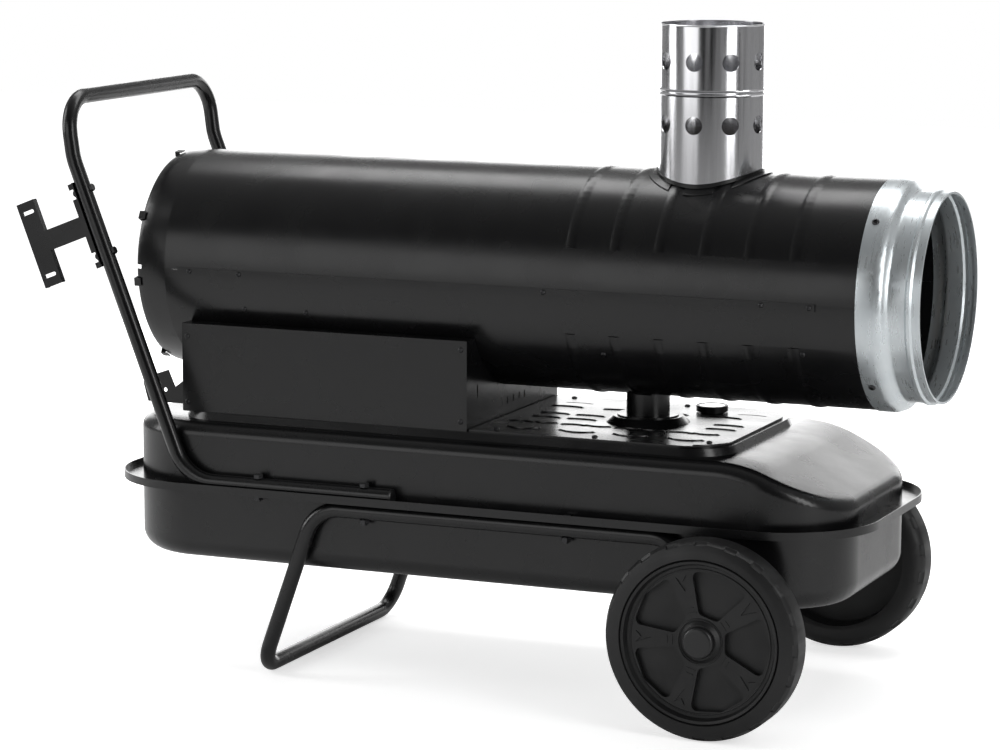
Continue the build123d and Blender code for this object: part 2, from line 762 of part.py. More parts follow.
def lip_ring():
    """The turned-up edge of the flange."""
    w, t = FLANGE_W, TANK_T
    outer = rounded_plan(
        TANK_X0 - w, TANK_X1 + w, TANK_HALF_W + w, TANK_CORNER_R + w, FLANGE_TOP_Z - t, LIP_H + t
    )
    inner = rounded_plan(
        TANK_X0 - w + t,
        TANK_X1 + w - t,
        TANK_HALF_W + w - t,
        TANK_CORNER_R + w - t,
        FLANGE_TOP_Z - t - 1,
        LIP_H + t + 2,
    )
    return outer - inner


def flange_bolt_places():
    xs = (HANDLE_BOLT_X, SHARED_BOLT_X, STAND_BOLT_X)
    return [(x, side * TUBE_Y) for x in xs for side in (-1, 1)]


def flange_bolt_holes():
    return [rod_z(BOLT_R + HOLE_GAP, 80, x, y, TANK_SEAM_Z - 40) for x, y in flange_bolt_places()]


def make_tank_upper():
    outer = tank_block(0, TANK_SEAM_Z) + tank_pad(0, PAD_H + 1)
    inner = tank_block(TANK_T, TANK_SEAM_Z - 1) + tank_pad(TANK_T, PAD_H + 1)
    shell = outer - inner + flange_ring(TANK_SEAM_Z, TANK_T) + lip_ring()
    for hole in flange_bolt_holes():
        shell = shell - hole
    shell = shell - rod_z(NECK_R - 1.5, 60, CAP_X, CAP_Y, PAD_Z - 30)
    shell = shell - rod_z(GAUGE_NECK_R - 4, 60, GAUGE_X, GAUGE_Y, PAD_Z - 30)
    return shell - dip_hole()


def tank_pan(inset, top):
    """The tank's lower form, drawn in by inset, with its rounded foot."""
    x0, x1 = TANK_X0 + inset, TANK_X1 - inset
    z0 = TANK_BOTTOM_Z + inset
    body = rounded_plan(x0, x1, TANK_HALF_W - inset, TANK_CORNER_R - inset, z0, top - z0)
    return fillet(body.edges().group_by(Axis.Z)[0], TANK_FOOT_R - inset)


def make_tank_lower():
    z = TANK_SEAM_Z - TOUCH
    shell = tank_pan(0, z) - tank_pan(TANK_T, z + 5)
    shell = shell + flange_ring(FLANGE_LOW_Z, z - FLANGE_LOW_Z)
    for hole in flange_bolt_holes():
        shell = shell - hole
    x, y = drain_place()
    return shell - rod_z(9.0 + HOLE_GAP, 20, x, y, TANK_BOTTOM_Z - 10)


def drain_place():
    return -60.0, 0.0


def make_drain_plug():
    x, y = drain_place()
    head = Pos(x, y, TANK_BOTTOM_Z - TOUCH) * extrude(RegularPolygon(13.0, 6), -8.0)
    return head + rod_z(9.0, 12, x, y, TANK_BOTTOM_Z - 1)


def slot_arc(x, y, radius, first, arc, width=4.6):
    """A curved slot through the shield, as a cutter."""
    sketch = SlotArc(CenterArc((0, 0), radius, first, arc), width)
    return Pos(x, y, SHIELD_Z) * extrude(sketch, 6.0, both=True)


def shield_slots():
    """Rows of curved louvres: cups along the near edge, waves and ripples behind."""
    cutters = []
    edge = -SHIELD_HALF_W
    for i in range(SLOT_COLUMNS):
        x = SLOT_FIRST_X + SLOT_PITCH * i
        cutters.append(slot_arc(x, edge + 70.0, 34.0, 225.0, 90.0))
        cutters.append(slot_arc(x - 22.0, edge + 62.0, 34.0, 60.0, 60.0))
        cutters.append(slot_arc(x + 12.0, edge + 126.0, 34.0, 240.0, 60.0))
        cutters.append(slot_arc(x - 8.0, edge + 168.0, 70.0, 72.0, 36.0))
    for x in (85.0, 140.0, 350.0):
        cutters.append(slot_arc(x, edge + 106.0, 70.0, 74.0, 32.0))
        cutters.append(slot_arc(x, edge + 72.0, 70.0, 74.0, 32.0))
    for x in (85.0, 352.0):
        cutters.append(slot_arc(x, edge + 206.0, 70.0, 74.0, 32.0))
    return cutters


def make_heat_shield():
    """The slotted sheet on the tank top that keeps the drum's heat off the fuel."""
    x0 = BOX_X1 + 2
    plate = rounded_plan(x0 - SHIELD_R, SHIELD_X1, SHIELD_HALF_W, SHIELD_R, SHIELD_Z, SHIELD_T)
    plate = plate - slab(x0 - 2 * SHIELD_R, x0, -200, 200, SHIELD_Z - 5, SHIELD_Z + 5)
    skirt = rounded_plan(x0 - SHIELD_R, SHIELD_X1, SHIELD_HALF_W, SHIELD_R, PAD_Z + TOUCH, SHIELD_LIFT)
    inner = SHIELD_HALF_W - SHIELD_T
    core = rounded_plan(
        x0 - SHIELD_R, SHIELD_X1 - SHIELD_T, inner, SHIELD_R - SHIELD_T, PAD_Z - 1, SHIELD_LIFT + 2
    )
    skirt = skirt - core - slab(x0 - 2 * SHIELD_R, x0, -200, 200, PAD_Z - 5, PAD_Z + 5)
    boss = Pos(SUPPORT_X, 0, SHIELD_TOP_Z + BOSS_H / 2) * Cone(BOSS_R + 10, BOSS_R, BOSS_H)
    hollow = Pos(SUPPORT_X, 0, SHIELD_TOP_Z + BOSS_H / 2 - SHIELD_T) * Cone(
        BOSS_R + 10 - 0.4, BOSS_R - 0.4, BOSS_H
    )
    plate = plate + skirt + (boss - hollow) - rod_z(BOSS_R + 9, 1.2, SUPPORT_X, 0, SHIELD_Z - 0.001)
    for cutter in shield_slots():
        plate = plate - cutter
    plate = plate - rod_z(NECK_R + 6, 20, CAP_X, CAP_Y, SHIELD_Z - 5)
    return plate - rod_z(GAUGE_NECK_R + 1, 20, GAUGE_X, GAUGE_Y, SHIELD_Z - 5)


def make_filler_neck():
    z = PAD_Z + TOUCH
    neck = rod_z(NECK_R, NECK_RISE, CAP_X, CAP_Y, z) + rod_z(NECK_R + 5, 1.6, CAP_X, CAP_Y, z)
    return neck - rod_z(NECK_R - 2, NECK_RISE + 2, CAP_X, CAP_Y, z - 1)


def make_strainer():
    """The cup in the filler neck that keeps dirt out of the tank."""
    top = PAD_Z + NECK_RISE + 2 * TOUCH
    outer = NECK_R - 2 - SEAT
    rim = rod_z(outer + 1.5, 1.0, CAP_X, CAP_Y, top)
    cup = rod_z(outer, STRAINER_DEPTH, CAP_X, CAP_Y, top - STRAINER_DEPTH + 0.5)
    return rim + cup - rod_z(outer - 1.2, STRAINER_DEPTH, CAP_X, CAP_Y, top - STRAINER_DEPTH + 1.7)


def make_fuel_cap():
    """The screw cap with a fluted skirt and a grip bar."""
    z = PAD_Z + NECK_RISE + 1.0 + 3 * TOUCH
    cap = rod_z(CAP_R, CAP_H, CAP_X, CAP_Y, z - 8)
    cap = chamfer(cap.edges().group_by(Axis.Z)[-1], 1.8)
    cap = cap - rod_z(NECK_R + 0.5, 8, CAP_X, CAP_Y, z - 8)
    flute = rod_z(3.0, 40, CAP_R + 1.6, 0, z - 20)
    for cut in turned(flute, 12, axis=Axis.Z):
        cap = cap - Pos(CAP_X, CAP_Y, 0) * cut
    bar = slab(CAP_X - 18, CAP_X + 18, CAP_Y - 3.5, CAP_Y + 3.5, z + CAP_H - 9, z + CAP_H - 3)
    return cap + bar


# Fuel gauge


def float_mid_z():
    return (TANK_BOTTOM_Z + PAD_Z) / 2


def make_fuel_gauge():
    """The dial case on its neck, with the two rods that guide the float."""
    z = PAD_Z + TOUCH
    case = rod_z(GAUGE_NECK_R, GAUGE_RISE, GAUGE_X, GAUGE_Y, z)
    dial_z = z + GAUGE_RISE - 7
    case = case + rod_z(GAUGE_R, 8.5, GAUGE_X, GAUGE_Y, dial_z)
    case = case - rod_z(GAUGE_R - 3, 20, GAUGE_X, GAUGE_Y, dial_z + 3.5)
    case = case - rod_z(2.0 + FIT, 60, GAUGE_X, GAUGE_Y, z - 30)
    glass_z = dial_z + 6.5
    rods_low = float_mid_z() - FLOAT_TRAVEL - FLOAT_H
    for side in (-1, 1):
        y = GAUGE_Y + side * 10.0
        case = case + rod_z(1.5, z + 2 - rods_low, GAUGE_X, y, rods_low)
    plate = slab(GAUGE_X - 3, GAUGE_X + 3, GAUGE_Y - 12, GAUGE_Y + 12, rods_low - 2, rods_low)
    bezel = rod_z(GAUGE_R, 2.0, GAUGE_X, GAUGE_Y, glass_z) - rod_z(GAUGE_R - 4, 4, GAUGE_X, GAUGE_Y, glass_z - 1)
    return case + plate + bezel


def make_gauge_pointer():
    """The pointer with the twisted strip that the float turns."""
    z = PAD_Z + TOUCH + GAUGE_RISE - 7 + 3.5 + 0.3
    disc = rod_z(GAUGE_R - 6, 0.8, GAUGE_X, GAUGE_Y, z)
    hand = slab(GAUGE_X - 1.4, GAUGE_X + 1.4, GAUGE_Y, GAUGE_Y + GAUGE_R - 7, z + 0.7, z + 1.4)
    low = float_mid_z() - FLOAT_TRAVEL - FLOAT_H / 2
    spindle = rod_z(2.0, z - low, GAUGE_X, GAUGE_Y, low)
    return disc + hand + spindle


def make_gauge_float():
    body = rod_z(FLOAT_R, FLOAT_H, GAUGE_X, GAUGE_Y, float_mid_z() - FLOAT_H / 2)
    body = chamfer(body.edges().filter_by(GeomType.CIRCLE), 2.0)
    body = body - rod_z(2.0 + 0.6, 60, GAUGE_X, GAUGE_Y, float_mid_z() - 30)
    for side in (-1, 1):
        body = body - rod_z(1.5 + 0.4, 60, GAUGE_X, GAUGE_Y + side * 10.0, float_mid_z() - 30)
    return body


# Control box


def saddle_cut(grow=0.0):
    """The drum's room in the box, before the box is cut to it."""
    reach = BOX_X1 - BOX_X0 + 80
    return DRUM * rod_x(DRUM_R + SADDLE_GAP + grow, reach, BOX_X0 - 40)


def end_plate(x, outward):
    """One end wall of the box with its side returns."""
    low, high = (x - BOX_T, x) if outward > 0 else (x, x + BOX_T)
    inner = BOX_HALF_W - BOX_T - TOUCH
    top = BOX_TOP_Z - BOX_T - TOUCH
    plate = slab(low, high, -inner, inner, PAD_Z + TOUCH, top)
    deep = -outward * BOX_RETURN
    x_a, x_b = sorted((x, x + deep))
    flange = slab(x_a, x_b, -inner, -inner + BOX_T, BASE_Z, top)
    for wing in both_sides(flange):
        plate = plate + wing
    return plate


def make_box_tray():
    """The base, the two end walls with the drum's saddle and the rear lugs."""
    inner = BOX_HALF_W - BOX_T - TOUCH
    base = slab(BOX_X0, BOX_X1, -inner, inner, PAD_Z + TOUCH, BASE_Z)
    tray = base + end_plate(BOX_X1, 1) + end_plate(BOX_X0, -1)
    foot = slab(BOX_X1 - 1, BOX_X1 + 1.4, -inner + 8, inner - 8, PAD_Z + TOUCH, PAD_Z + 1.2)
    tray = tray + foot - saddle_cut()
    for y, low, high in ((-132, 411, 430), (-22, 386, 397), (0, 386, 397), (22, 386, 397), (42, 386, 397)):
        tray = tray - slab(BOX_X1 - 4, BOX_X1 + 4, y - 1.8, y + 1.8, low, high)
    tray = tray - dip_hole()
    x = BOX_X0
    lug = Polyline(
        (x + 1, BASE_Z), (x + 1, 405), (x - 23, 405), (x - 39, 393), (x - 50, 418),
        (x - 67, 412), (x - 92, 398), (x - 84, BASE_Z), close=True,
    )
    sheet = extrude(Plane.XZ * make_face(lug.edges()), 2.0)
    for hole_x in (x - 55, x - 20):
        sheet = sheet - rod_y(3.2, 10, hole_x, -5, 388)
    for wing in both_sides(Pos(0, -119, 0) * sheet):
        tray = tray + wing
    x_g, y_g, z_g = gland_place()
    return tray - rod_x(8.0 + HOLE_GAP, 20, x_g - 10, y_g, z_g)


def side_panel():
    """A folded side cover, as built for the near side."""
    y = BOX_HALF_W
    face = slab(BOX_X0, BOX_X1, -y, -y + BOX_T, BASE_Z, BOX_TOP_Z)
    top = slab(BOX_X0, BOX_X1, -y, -y + 40, BOX_TOP_Z - BOX_T, BOX_TOP_Z)
    panel = face + top
    corner = [
        e
        for e in panel.edges().filter_by(Axis.X)
        if abs(e.center().Y + y) < 0.01 and abs(e.center().Z - BOX_TOP_Z) < 0.01
    ]
    return fillet(corner, 1.1) - saddle_cut(0.4)


def make_control_panel():
    panel = mirror(side_panel(), Plane.XZ)
    y = BOX_HALF_W
    panel = panel - slab(
        SWITCH_X - SWITCH_W / 2, SWITCH_X + SWITCH_W / 2, y - 5, y + 5, CONTROL_Z - SWITCH_H / 2, CONTROL_Z + SWITCH_H / 2
    )
    panel = panel - rod_y(5.0 + HOLE_GAP, 10, KNOB_X, y - 5, CONTROL_Z)
    panel = panel - rod_y(8.0 + HOLE_GAP, 10, RESET_X, y - 5, CONTROL_Z)
    return panel - rod_y(5.0 + HOLE_GAP, 10, LAMP_X, y - 5, CONTROL_Z)


def make_switch_frame():
    y = BOX_HALF_W + TOUCH
    w, h = SWITCH_W / 2, SWITCH_H / 2
    rim = slab(SWITCH_X - w - 3, SWITCH_X + w + 3, y, y + 2.4, CONTROL_Z - h - 3, CONTROL_Z + h + 3)
    rim = fillet(rim.edges().filter_by(Axis.Y), 2.0)
    x0, x1, z0, z1 = SWITCH_X - w, SWITCH_X + w, CONTROL_Z - h, CONTROL_Z + h
    body = slab(x0 + 0.3, x1 - 0.3, y - 26, y + 1, z0 + 0.3, z1 - 0.3)
    room = slab(x0 + 2, x1 - 2, y - 16, y + 9, z0 + 2, z1 - 2)
    pin = rod_x(2.0, SWITCH_W - 3, x0 + 1.5, y - 6, CONTROL_Z)
    return rim + body - room + pin


def make_rocker_switch():
    """The two-way rocker on its pivot pin."""
    y = BOX_HALF_W + TOUCH
    w = SWITCH_W / 2 - 2 - MOVE_GAP
    h = SWITCH_H / 2 - 2 - 2.2
    sketch = Polyline((-7, h), (9.5, h), (5.5, 0), (9.5, -h), (-7, -h), close=True)
    face = make_face(sketch.edges())
    rocker = extrude(face, w, both=True)
    rocker = Pos(SWITCH_X, y - 6, CONTROL_Z) * Rot(0, 90, 0) * Rot(0, 0, 90) * rocker
    return rocker - rod_x(2.0 + FIT, SWITCH_W, SWITCH_X - SWITCH_W / 2, y - 6, CONTROL_Z)


def make_room_thermostat():
    """The thermostat behind the panel, with its bush through the hole."""
    y = BOX_HALF_W
    body = slab(KNOB_X - 18, KNOB_X + 18, y - BOX_T - TOUCH - 24, y - BOX_T - TOUCH, CONTROL_Z - 16, CONTROL_Z + 16)
    bush = rod_y(5.0, 6, KNOB_X, y - BOX_T - 2, CONTROL_Z)
    return body + bush - rod_y(3.0 + FIT, 26, KNOB_X, y - 16, CONTROL_Z)


def make_thermostat_knob():
    y = BOX_HALF_W + 5.0
    knob = rod_y(KNOB_R, 16, KNOB_X, y, CONTROL_Z)
    outer = knob.edges().filter_by(GeomType.CIRCLE).sort_by(Axis.Y)[-1]
    knob = chamfer(outer, 1.5)
    flute = rod_y(2.6, 12, KNOB_R + 1.4, y + 6, 0)
    for cut in turned(flute, 10, axis=Axis.Y):
        knob = knob - Pos(KNOB_X, 0, CONTROL_Z) * cut
    ridge = slab(KNOB_X - 1.5, KNOB_X + 1.5, y + 15.5, y + 17.5, CONTROL_Z + 3, CONTROL_Z + KNOB_R - 4)
    return knob + ridge + rod_y(3.0, 20, KNOB_X, y - 18, CONTROL_Z)


def make_overheat_cutout():
    """The overheat trip behind the panel that the reset button belongs to."""
    y = BOX_HALF_W
    collar = rod_y(11.0, 2.0, RESET_X, y + TOUCH, CONTROL_Z)
    barrel = rod_y(8.0, 20, RESET_X, y - 18, CONTROL_Z)
    return collar + barrel - rod_y(5.0 + 0.4, 14, RESET_X, y - 9, CONTROL_Z)


def make_reset_button():
    y = BOX_HALF_W
    button = rod_y(5.0, 10, RESET_X, y - 4, CONTROL_Z)
    return chamfer(button.edges().filter_by(GeomType.CIRCLE).sort_by(Axis.Y)[-1], 0.8)


def make_pilot_lamp():
    y = BOX_HALF_W
    lamp = rod_y(5.0, 14, LAMP_X, y - 10, CONTROL_Z) + rod_y(6.5, 2.6, LAMP_X, y + TOUCH, CONTROL_Z)
    return chamfer(lamp.edges().filter_by(GeomType.CIRCLE).sort_by(Axis.Y)[-1], 0.8)


def make_control_board():
    """The ignition and flame control board on four stand-offs."""
    z = BASE_Z + TOUCH
    x, y = -250.0, -40.0
    board = slab(x - 60, x + 60, y - 38, y + 38, z + 8, z + 9.6)
    for dx in (-52, 52):
        for dy in (-30, 30):
            board = board + rod_z(3.0, 8.2, x + dx, y + dy, z)
    for dx, dy, w, d, h in ((-34, 14, 26, 18, 14), (0, 16, 18, 15, 12), (30, -6, 22, 30, 10), (-20, -18, 30, 9, 9)):
        board = board + slab(x + dx - w / 2, x + dx + w / 2, y + dy - d / 2, y + dy + d / 2, z + 9.4, z + 9.6 + h)
    for dx in (-4, 12):
        board = board + rod_z(5.5, 12, x + dx, y - 22, z + 9.4)
    return board


def make_transformer():
    """The ignition transformer with its two high-tension posts."""
    z = BASE_Z + TOUCH
    x, y = -372.0, -30.0
    block = slab(x - 30, x + 30, y - 34, y + 34, z + 2, z + 30)
    block = fillet(block.edges().filter_by(Axis.Z), 3.0)
    feet = slab(x - 40, x + 40, y - 28, y + 28, z, z + 2.2)
    posts = rod_z(5.0, 8, x - 12, y, z + 29) + rod_z(5.0, 8, x + 12, y, z + 29)
    return block + feet + posts


def gland_place():
    return BOX_X0, 95.0, 400.0


def make_cable_gland():
    x, y, z = gland_place()
    hexagon = Pos(x - TOUCH, y, z) * Rot(0, -90, 0) * extrude(RegularPolygon(13.0, 6), 6.0)
    dome = rod_x(10.5, 12, x - 18, y, z)
    dome = chamfer(dome.edges().filter_by(GeomType.CIRCLE).sort_by(Axis.X)[0], 2.5)
    barrel = rod_x(8.0, 10, x - 6, y, z)
    return hexagon + dome + barrel - rod_x(4.5, 30, x - 24, y, z)


# Drum support


def make_drum_support():
    """The pressed pedestal between the shield and the drum."""
    z = SHIELD_TOP_Z + BOSS_H + TOUCH
    height = DRUM_AXIS_Z - z
    post = rod_z(SUPPORT_R, height, SUPPORT_X, 0, z)
    bore = rod_z(SUPPORT_R - SUPPORT_WALL, height, SUPPORT_X, 0, z - 1)
    foot = rod_z(SUPPORT_FOOT_R, SUPPORT_WALL, SUPPORT_X, 0, z) - bore
    roof_skin = DRUM * tube_x(DRUM_R + SEAT + 2.0, DRUM_R + SEAT, 90, SUPPORT_X - 45)
    roof = roof_skin & rod_z(SUPPORT_R, height, SUPPORT_X, 0, z)
    drum_room = DRUM * rod_x(DRUM_R + SEAT, 2 * SUPPORT_R + 20, SUPPORT_X - SUPPORT_R - 10)
    support = (post - bore) - drum_room + foot + (roof - drum_room)
    for x in bead_positions():
        support = support - DRUM * bead_room(x)
    return support


# Handle, stand and axle


def handle_side(side):
    """The handle's corner points on one side, from its end up to the top bar."""
    return [
        (HANDLE_END_X, side * TUBE_Y, HANDLE_Z),
        (HANDLE_HEEL_X, side * TUBE_Y, HANDLE_Z),
        (HANDLE_KNEE_X, side * HANDLE_HALF_W, HANDLE_KNEE_Z),
        (HANDLE_TOP_X, side * HANDLE_HALF_W, HANDLE_TOP_Z),
    ]


def make_push_handle():
    points = handle_side(-1) + handle_side(1)[::-1]
    tube = bent_tube(points, [65.0, 90.0, 52.0, 52.0, 90.0, 65.0])
    for x, y in flange_bolt_places()[:4]:
        tube = tube - rod_z(BOLT_R + HOLE_GAP, 60, x, y, HANDLE_Z - 30)
    for place in cord_bolt_places():
        tube = tube - place * Cylinder(3.0 + HOLE_GAP, 60)
    return tube


def make_tube_plugs():
    plugs = []
    for side in (-1, 1):
        y = side * TUBE_Y
        head = rod_x(TUBE_R, 3.5, HANDLE_END_X + TOUCH, y, HANDLE_Z)
        head = chamfer(head.edges().filter_by(GeomType.CIRCLE).sort_by(Axis.X)[-1], 1.2)
        plugs.append(head + rod_x(TUBE_R - TUBE_WALL - SEAT, 15, HANDLE_END_X - 14, y, HANDLE_Z))
    return plugs


def axle_end_point(side):
    """Where the stand's tube meets the axle sleeve."""
    reach = LUG_R - 3.0
    run_x, run_z = WHEEL_X - STAND_FRONT_X, WHEEL_R - RAIL_Z
    length = sqrt(run_x**2 + run_z**2)
    return (WHEEL_X - run_x / length * reach, side * TUBE_Y, WHEEL_R - run_z / length * reach)


def stand_side(side):
    return [
        axle_end_point(side),
        (STAND_FRONT_X, side * TUBE_Y, RAIL_Z),
        (STAND_HEEL_X, side * TUBE_Y, RAIL_Z),
        (STAND_FOOT_X, side * TUBE_Y, TUBE_R),
    ]


def make_stand():
    """The bent tube that is rail, leg and foot bar in one, with its axle sleeves."""
    points = stand_side(-1) + stand_side(1)[::-1]
    tube = bent_tube(points, [45.0, 55.0, 38.0, 38.0, 55.0, 45.0])
    for side in (-1, 1):
        y = side * TUBE_Y - LUG_LEN / 2
        tube = tube + rod_y(LUG_R, LUG_LEN, WHEEL_X, y, WHEEL_R)
    tube = tube - rod_y(AXLE_R + FIT, 2 * TUBE_Y + 60, WHEEL_X, -TUBE_Y - 30, WHEEL_R)
    for x, y in flange_bolt_places()[2:]:
        tube = tube - rod_z(BOLT_R + HOLE_GAP, 60, x, y, RAIL_Z - 30)
    return tube


def make_frame_bolts():
    """The bolts that clamp handle, tank flange and stand together."""
    bolts = []
    above = HANDLE_Z + TUBE_R + TOUCH
    below = RAIL_Z - TUBE_R - TOUCH
    for x, y in flange_bolt_places():
        top = above if x < 0 else FLANGE_TOP_Z + TOUCH
        foot = below if x > HANDLE_BOLT_X + 1 else FLANGE_LOW_Z - TOUCH
        bolts.append(Pos(x, y, top) * hex_bolt(BOLT_R, top - foot))
    return bolts


def make_axle():
    """The plain axle with a thrust collar outside each sleeve."""
    end = WHEEL_FACE_Y - 14.0
    return rod_y(AXLE_R, 2 * end, WHEEL_X, -end, WHEEL_R)


# Wheels


def wheel_blank():
    """The moulded wheel as a turned form, standing on its near face at y = 0."""
    w, r = WHEEL_W, WHEEL_R
    hub = WHEEL_HUB_R
    inner_hub = WHEEL_FACE_Y - WHEEL_W - TUBE_Y - LUG_LEN / 2 - 1.0
    outline = Polyline(
        (AXLE_R + FIT, 4), (hub - 3, 4), (hub + 2, DISH_DEPTH), (DISH_R, DISH_DEPTH), (DISH_R + 3, 1.5),
        (RIM_R - 1.5, 0.5), (RIM_R, 3), (RIM_R + 1.5, 0.5), (r - 12, 2.5), (r - 4, 6), (r, 13),
        (r, w - 13), (r - 4, w - 6), (r - 12, w - 1), (RIM_R, w), (DISH_R, w - 3),
        (DISH_R - 2, WEB_BACK), (hub + 3, WEB_BACK), (hub - 4, w - 8),
        (hub - 8, w + inner_hub), (AXLE_R + FIT, w + inner_hub), close=True,
    )
    return revolve(make_face(outline.edges()), Axis.Y)


def pocket_cutter():
    """One open pocket between two spokes, pointing to +X."""
    r0, r1 = WHEEL_HUB_R + 9, DISH_R - 9
    across, up = r1 * cos(radians(POCKET_HALF)), r1 * sin(radians(POCKET_HALF))
    outline = Polyline((r0, -13), (across, -up), (r1 + 2, 0), (across, up), (r0, 13), close=True)
    face = fillet(make_face(outline.edges()).vertices(), 7.0)
    return extrude(Plane.XZ * face, -(DISH_DEPTH + POCKET_DEPTH), taper=-8)


def spoke_groove():
    """The V-shaped mark pressed into the outer end of each spoke."""
    tip, wing = DISH_R - 34, DISH_R - 12
    outline = Polyline((wing, -8), (tip, 0), (wing, 8), (wing - 8, 0), close=True)
    return extrude(Plane.XZ * make_face(outline.edges()), 1.6, both=True)


def make_wheel():
    """A wheel about the origin, its outer face towards -Y."""
    wheel = wheel_blank()
    cutters = []
    for i in range(WHEEL_SPOKES):
        turn = 360.0 * i / WHEEL_SPOKES
        cutters.append(pocket_cutter().rotate(Axis.Y, turn))
        cutters.append(Pos(0, DISH_DEPTH, 0) * spoke_groove().rotate(Axis.Y, turn + 36.0))
    for i in range(WHEEL_LUGS):
        turn = 360.0 * i / WHEEL_LUGS
        for y, shift in ((4.0, 0.0), (WHEEL_W - 4.0, 0.5)):
            scoop = Pos(WHEEL_R + 3, y, 0) * Rot(0, 0, 0) * Cylinder(9.0, 17)
            cutters.append(scoop.rotate(Axis.Y, turn + shift * 360.0 / WHEEL_LUGS))
    for cutter in cutters:
        wheel = wheel - cutter
    return wheel


def make_hub_cap():
    """The domed cap pressed over the axle end."""
    dome = rod_y(HUB_CAP_R, 8.0, 0, -4.0 - TOUCH, 0)
    return fillet(dome.edges().filter_by(GeomType.CIRCLE).sort_by(Axis.Y)[0], 5.5)


def place_wheel(piece, side):
    """Sets a wheel piece, built with its face at y = 0, on one side of the heater."""
    near = Pos(WHEEL_X, -WHEEL_FACE_Y, WHEEL_R) * piece
    return near if side < 0 else mirror(near, Plane.XZ)


# Cord bracket


def cord_frame():
    """The place of the cord bracket: its X away from the leg, its Z up along it."""
    run_x, run_z = HANDLE_KNEE_X - HANDLE_HEEL_X, HANDLE_KNEE_Z - HANDLE_Z
    share = (CORD_Z - HANDLE_Z) / run_z
    x = HANDLE_HEEL_X + run_x * share
    y = -(TUBE_Y + (HANDLE_HALF_W - TUBE_Y) * share)
    length = sqrt(run_x**2 + run_z**2)
    away = (-run_z / length, 0, run_x / length)
    along = (run_x / length, 0, run_z / length)
    return Plane(origin=(x, y, CORD_Z), x_dir=away, z_dir=along)


def cord_bolt_places():
    """Two bolts through the leg, pointing away from the bracket."""
    frame = Location(cord_frame())
    return [frame * Pos(-TUBE_R - TOUCH, 0, z) * Rot(0, -90, 0) for z in (-48.0, 48.0)]


def make_cord_bracket():
    """The H-shaped folded plate that the mains lead is wound on."""
    t, half = CORD_T, CORD_LEN / 2
    x = TUBE_R + 0.15
    strip = slab(x, x + t, -9, 9, -half, half)
    web = slab(x, x + CORD_STRIP_W - 7, -1, 1, -half, half)
    arm_x = x + CORD_STRIP_W - 8
    arm = slab(x + 1, arm_x + CORD_ARM_LEN, -1, 1, -CORD_ARM_H / 2, CORD_ARM_H / 2)
    out = arm_x + CORD_ARM_LEN - 1
    outer = slab(out, out + CORD_OUTER_W, -1, 1, -half, half)
    rail_a = slab(out, out + t, -9, 1, -half, half)
    rail_b = slab(out + CORD_OUTER_W - t, out + CORD_OUTER_W, -9, 1, -half, half)
    body = strip + web + arm
    middle = out + CORD_OUTER_W / 2
    slot = Rot(90, 0, 0) * extrude(SlotOverall(20, 5.5), 10, both=True)
    slots = [Pos(middle, 0, z) * slot for z in (-half + 16, half - 16)]
    for z in (-48.0, 48.0):
        body = body - rod_x(3.0 + HOLE_GAP, 30, 0, 0, z) - rod_x(7.5, 40, x + t, 0, z)
    return Location(cord_frame()) * (body + outer + rail_a + rail_b - slots)


def make_bracket_bolts():
    reach = 2 * TUBE_R + CORD_T + 0.15 + 2 * TOUCH
    return [place * hex_bolt(3.0, reach) for place in cord_bolt_places()]


NODES = {
    "drum_upper_shell": make_upper_shell,
    "drum_lower_shell": make_lower_shell,
    "intake_cowl": make_intake_cowl,
    "intake_guard": make_intake_guard,
    "guard_clips": make_guard_clips,
    "outlet_collar": make_outlet_collar,
    "heat_exchanger": make_heat_exchanger,
    "combustion_chamber": make_combustion_chamber,
    "exchanger_brackets": make_can_brackets,
    "flue_tube": make_flue_tube,
    "flue_saddle": make_flue_saddle,
    "burner_tube": make_blast_tube,
    "air_swirler": make_swirler,
    "fuel_nozzle": make_nozzle,
    "nozzle_line": make_pressure_line,
    "ignition_electrodes": make_electrodes,
    "flame_sensor": make_flame_sensor,
    "fan_impeller": make_fan,
    "motor_shaft": make_motor_shaft,
    "pump_coupling": make_pump_coupling,
    "fan_motor": make_motor,
    "motor_bracket": make_motor_bracket,
    "fuel_pump": make_fuel_pump,
    "fuel_filter": make_fuel_filter,
    "suction_line": make_suction_line,
    "tank_upper_half": make_tank_upper,
    "tank_lower_half": make_tank_lower,
    "drain_plug": make_drain_plug,
    "heat_shield": make_heat_shield,
    "filler_neck": make_filler_neck,
    "filler_strainer": make_strainer,
    "fuel_cap": make_fuel_cap,
    "fuel_gauge": make_fuel_gauge,
    "gauge_pointer": make_gauge_pointer,
    "gauge_float": make_gauge_float,
    "box_tray": make_box_tray,
    "side_cover": side_panel,
    "control_panel": make_control_panel,
    "switch_frame": make_switch_frame,
    "rocker_switch": make_rocker_switch,
    "room_thermostat": make_room_thermostat,
    "thermostat_knob": make_thermostat_knob,
    "overheat_cutout": make_overheat_cutout,
    "reset_button": make_reset_button,
    "pilot_lamp": make_pilot_lamp,
    "control_board": make_control_board,
    "ignition_transformer": make_transformer,
    "cable_gland": make_cable_gland,
    "drum_support": make_drum_support,
    "push_handle": make_push_handle,
    "tube_plugs": make_tube_plugs,
    "stand_frame": make_stand,
    "frame_bolts": make_frame_bolts,
    "wheel_axle": make_axle,
    "cord_bracket": make_cord_bracket,
    "bracket_bolts": make_bracket_bolts,
}


def write_node(name, made):
    """Writes one sub-part, one piece or several, to its own file."""
    pieces = made if isinstance(made, (list, tuple)) else [made]
    solids = [solid for piece in pieces for solid in piece.solids()]
    shape = solids[0] if len(solids) == 1 else Compound(children=solids)
    export_step(shape, f"parts/{name}.step")


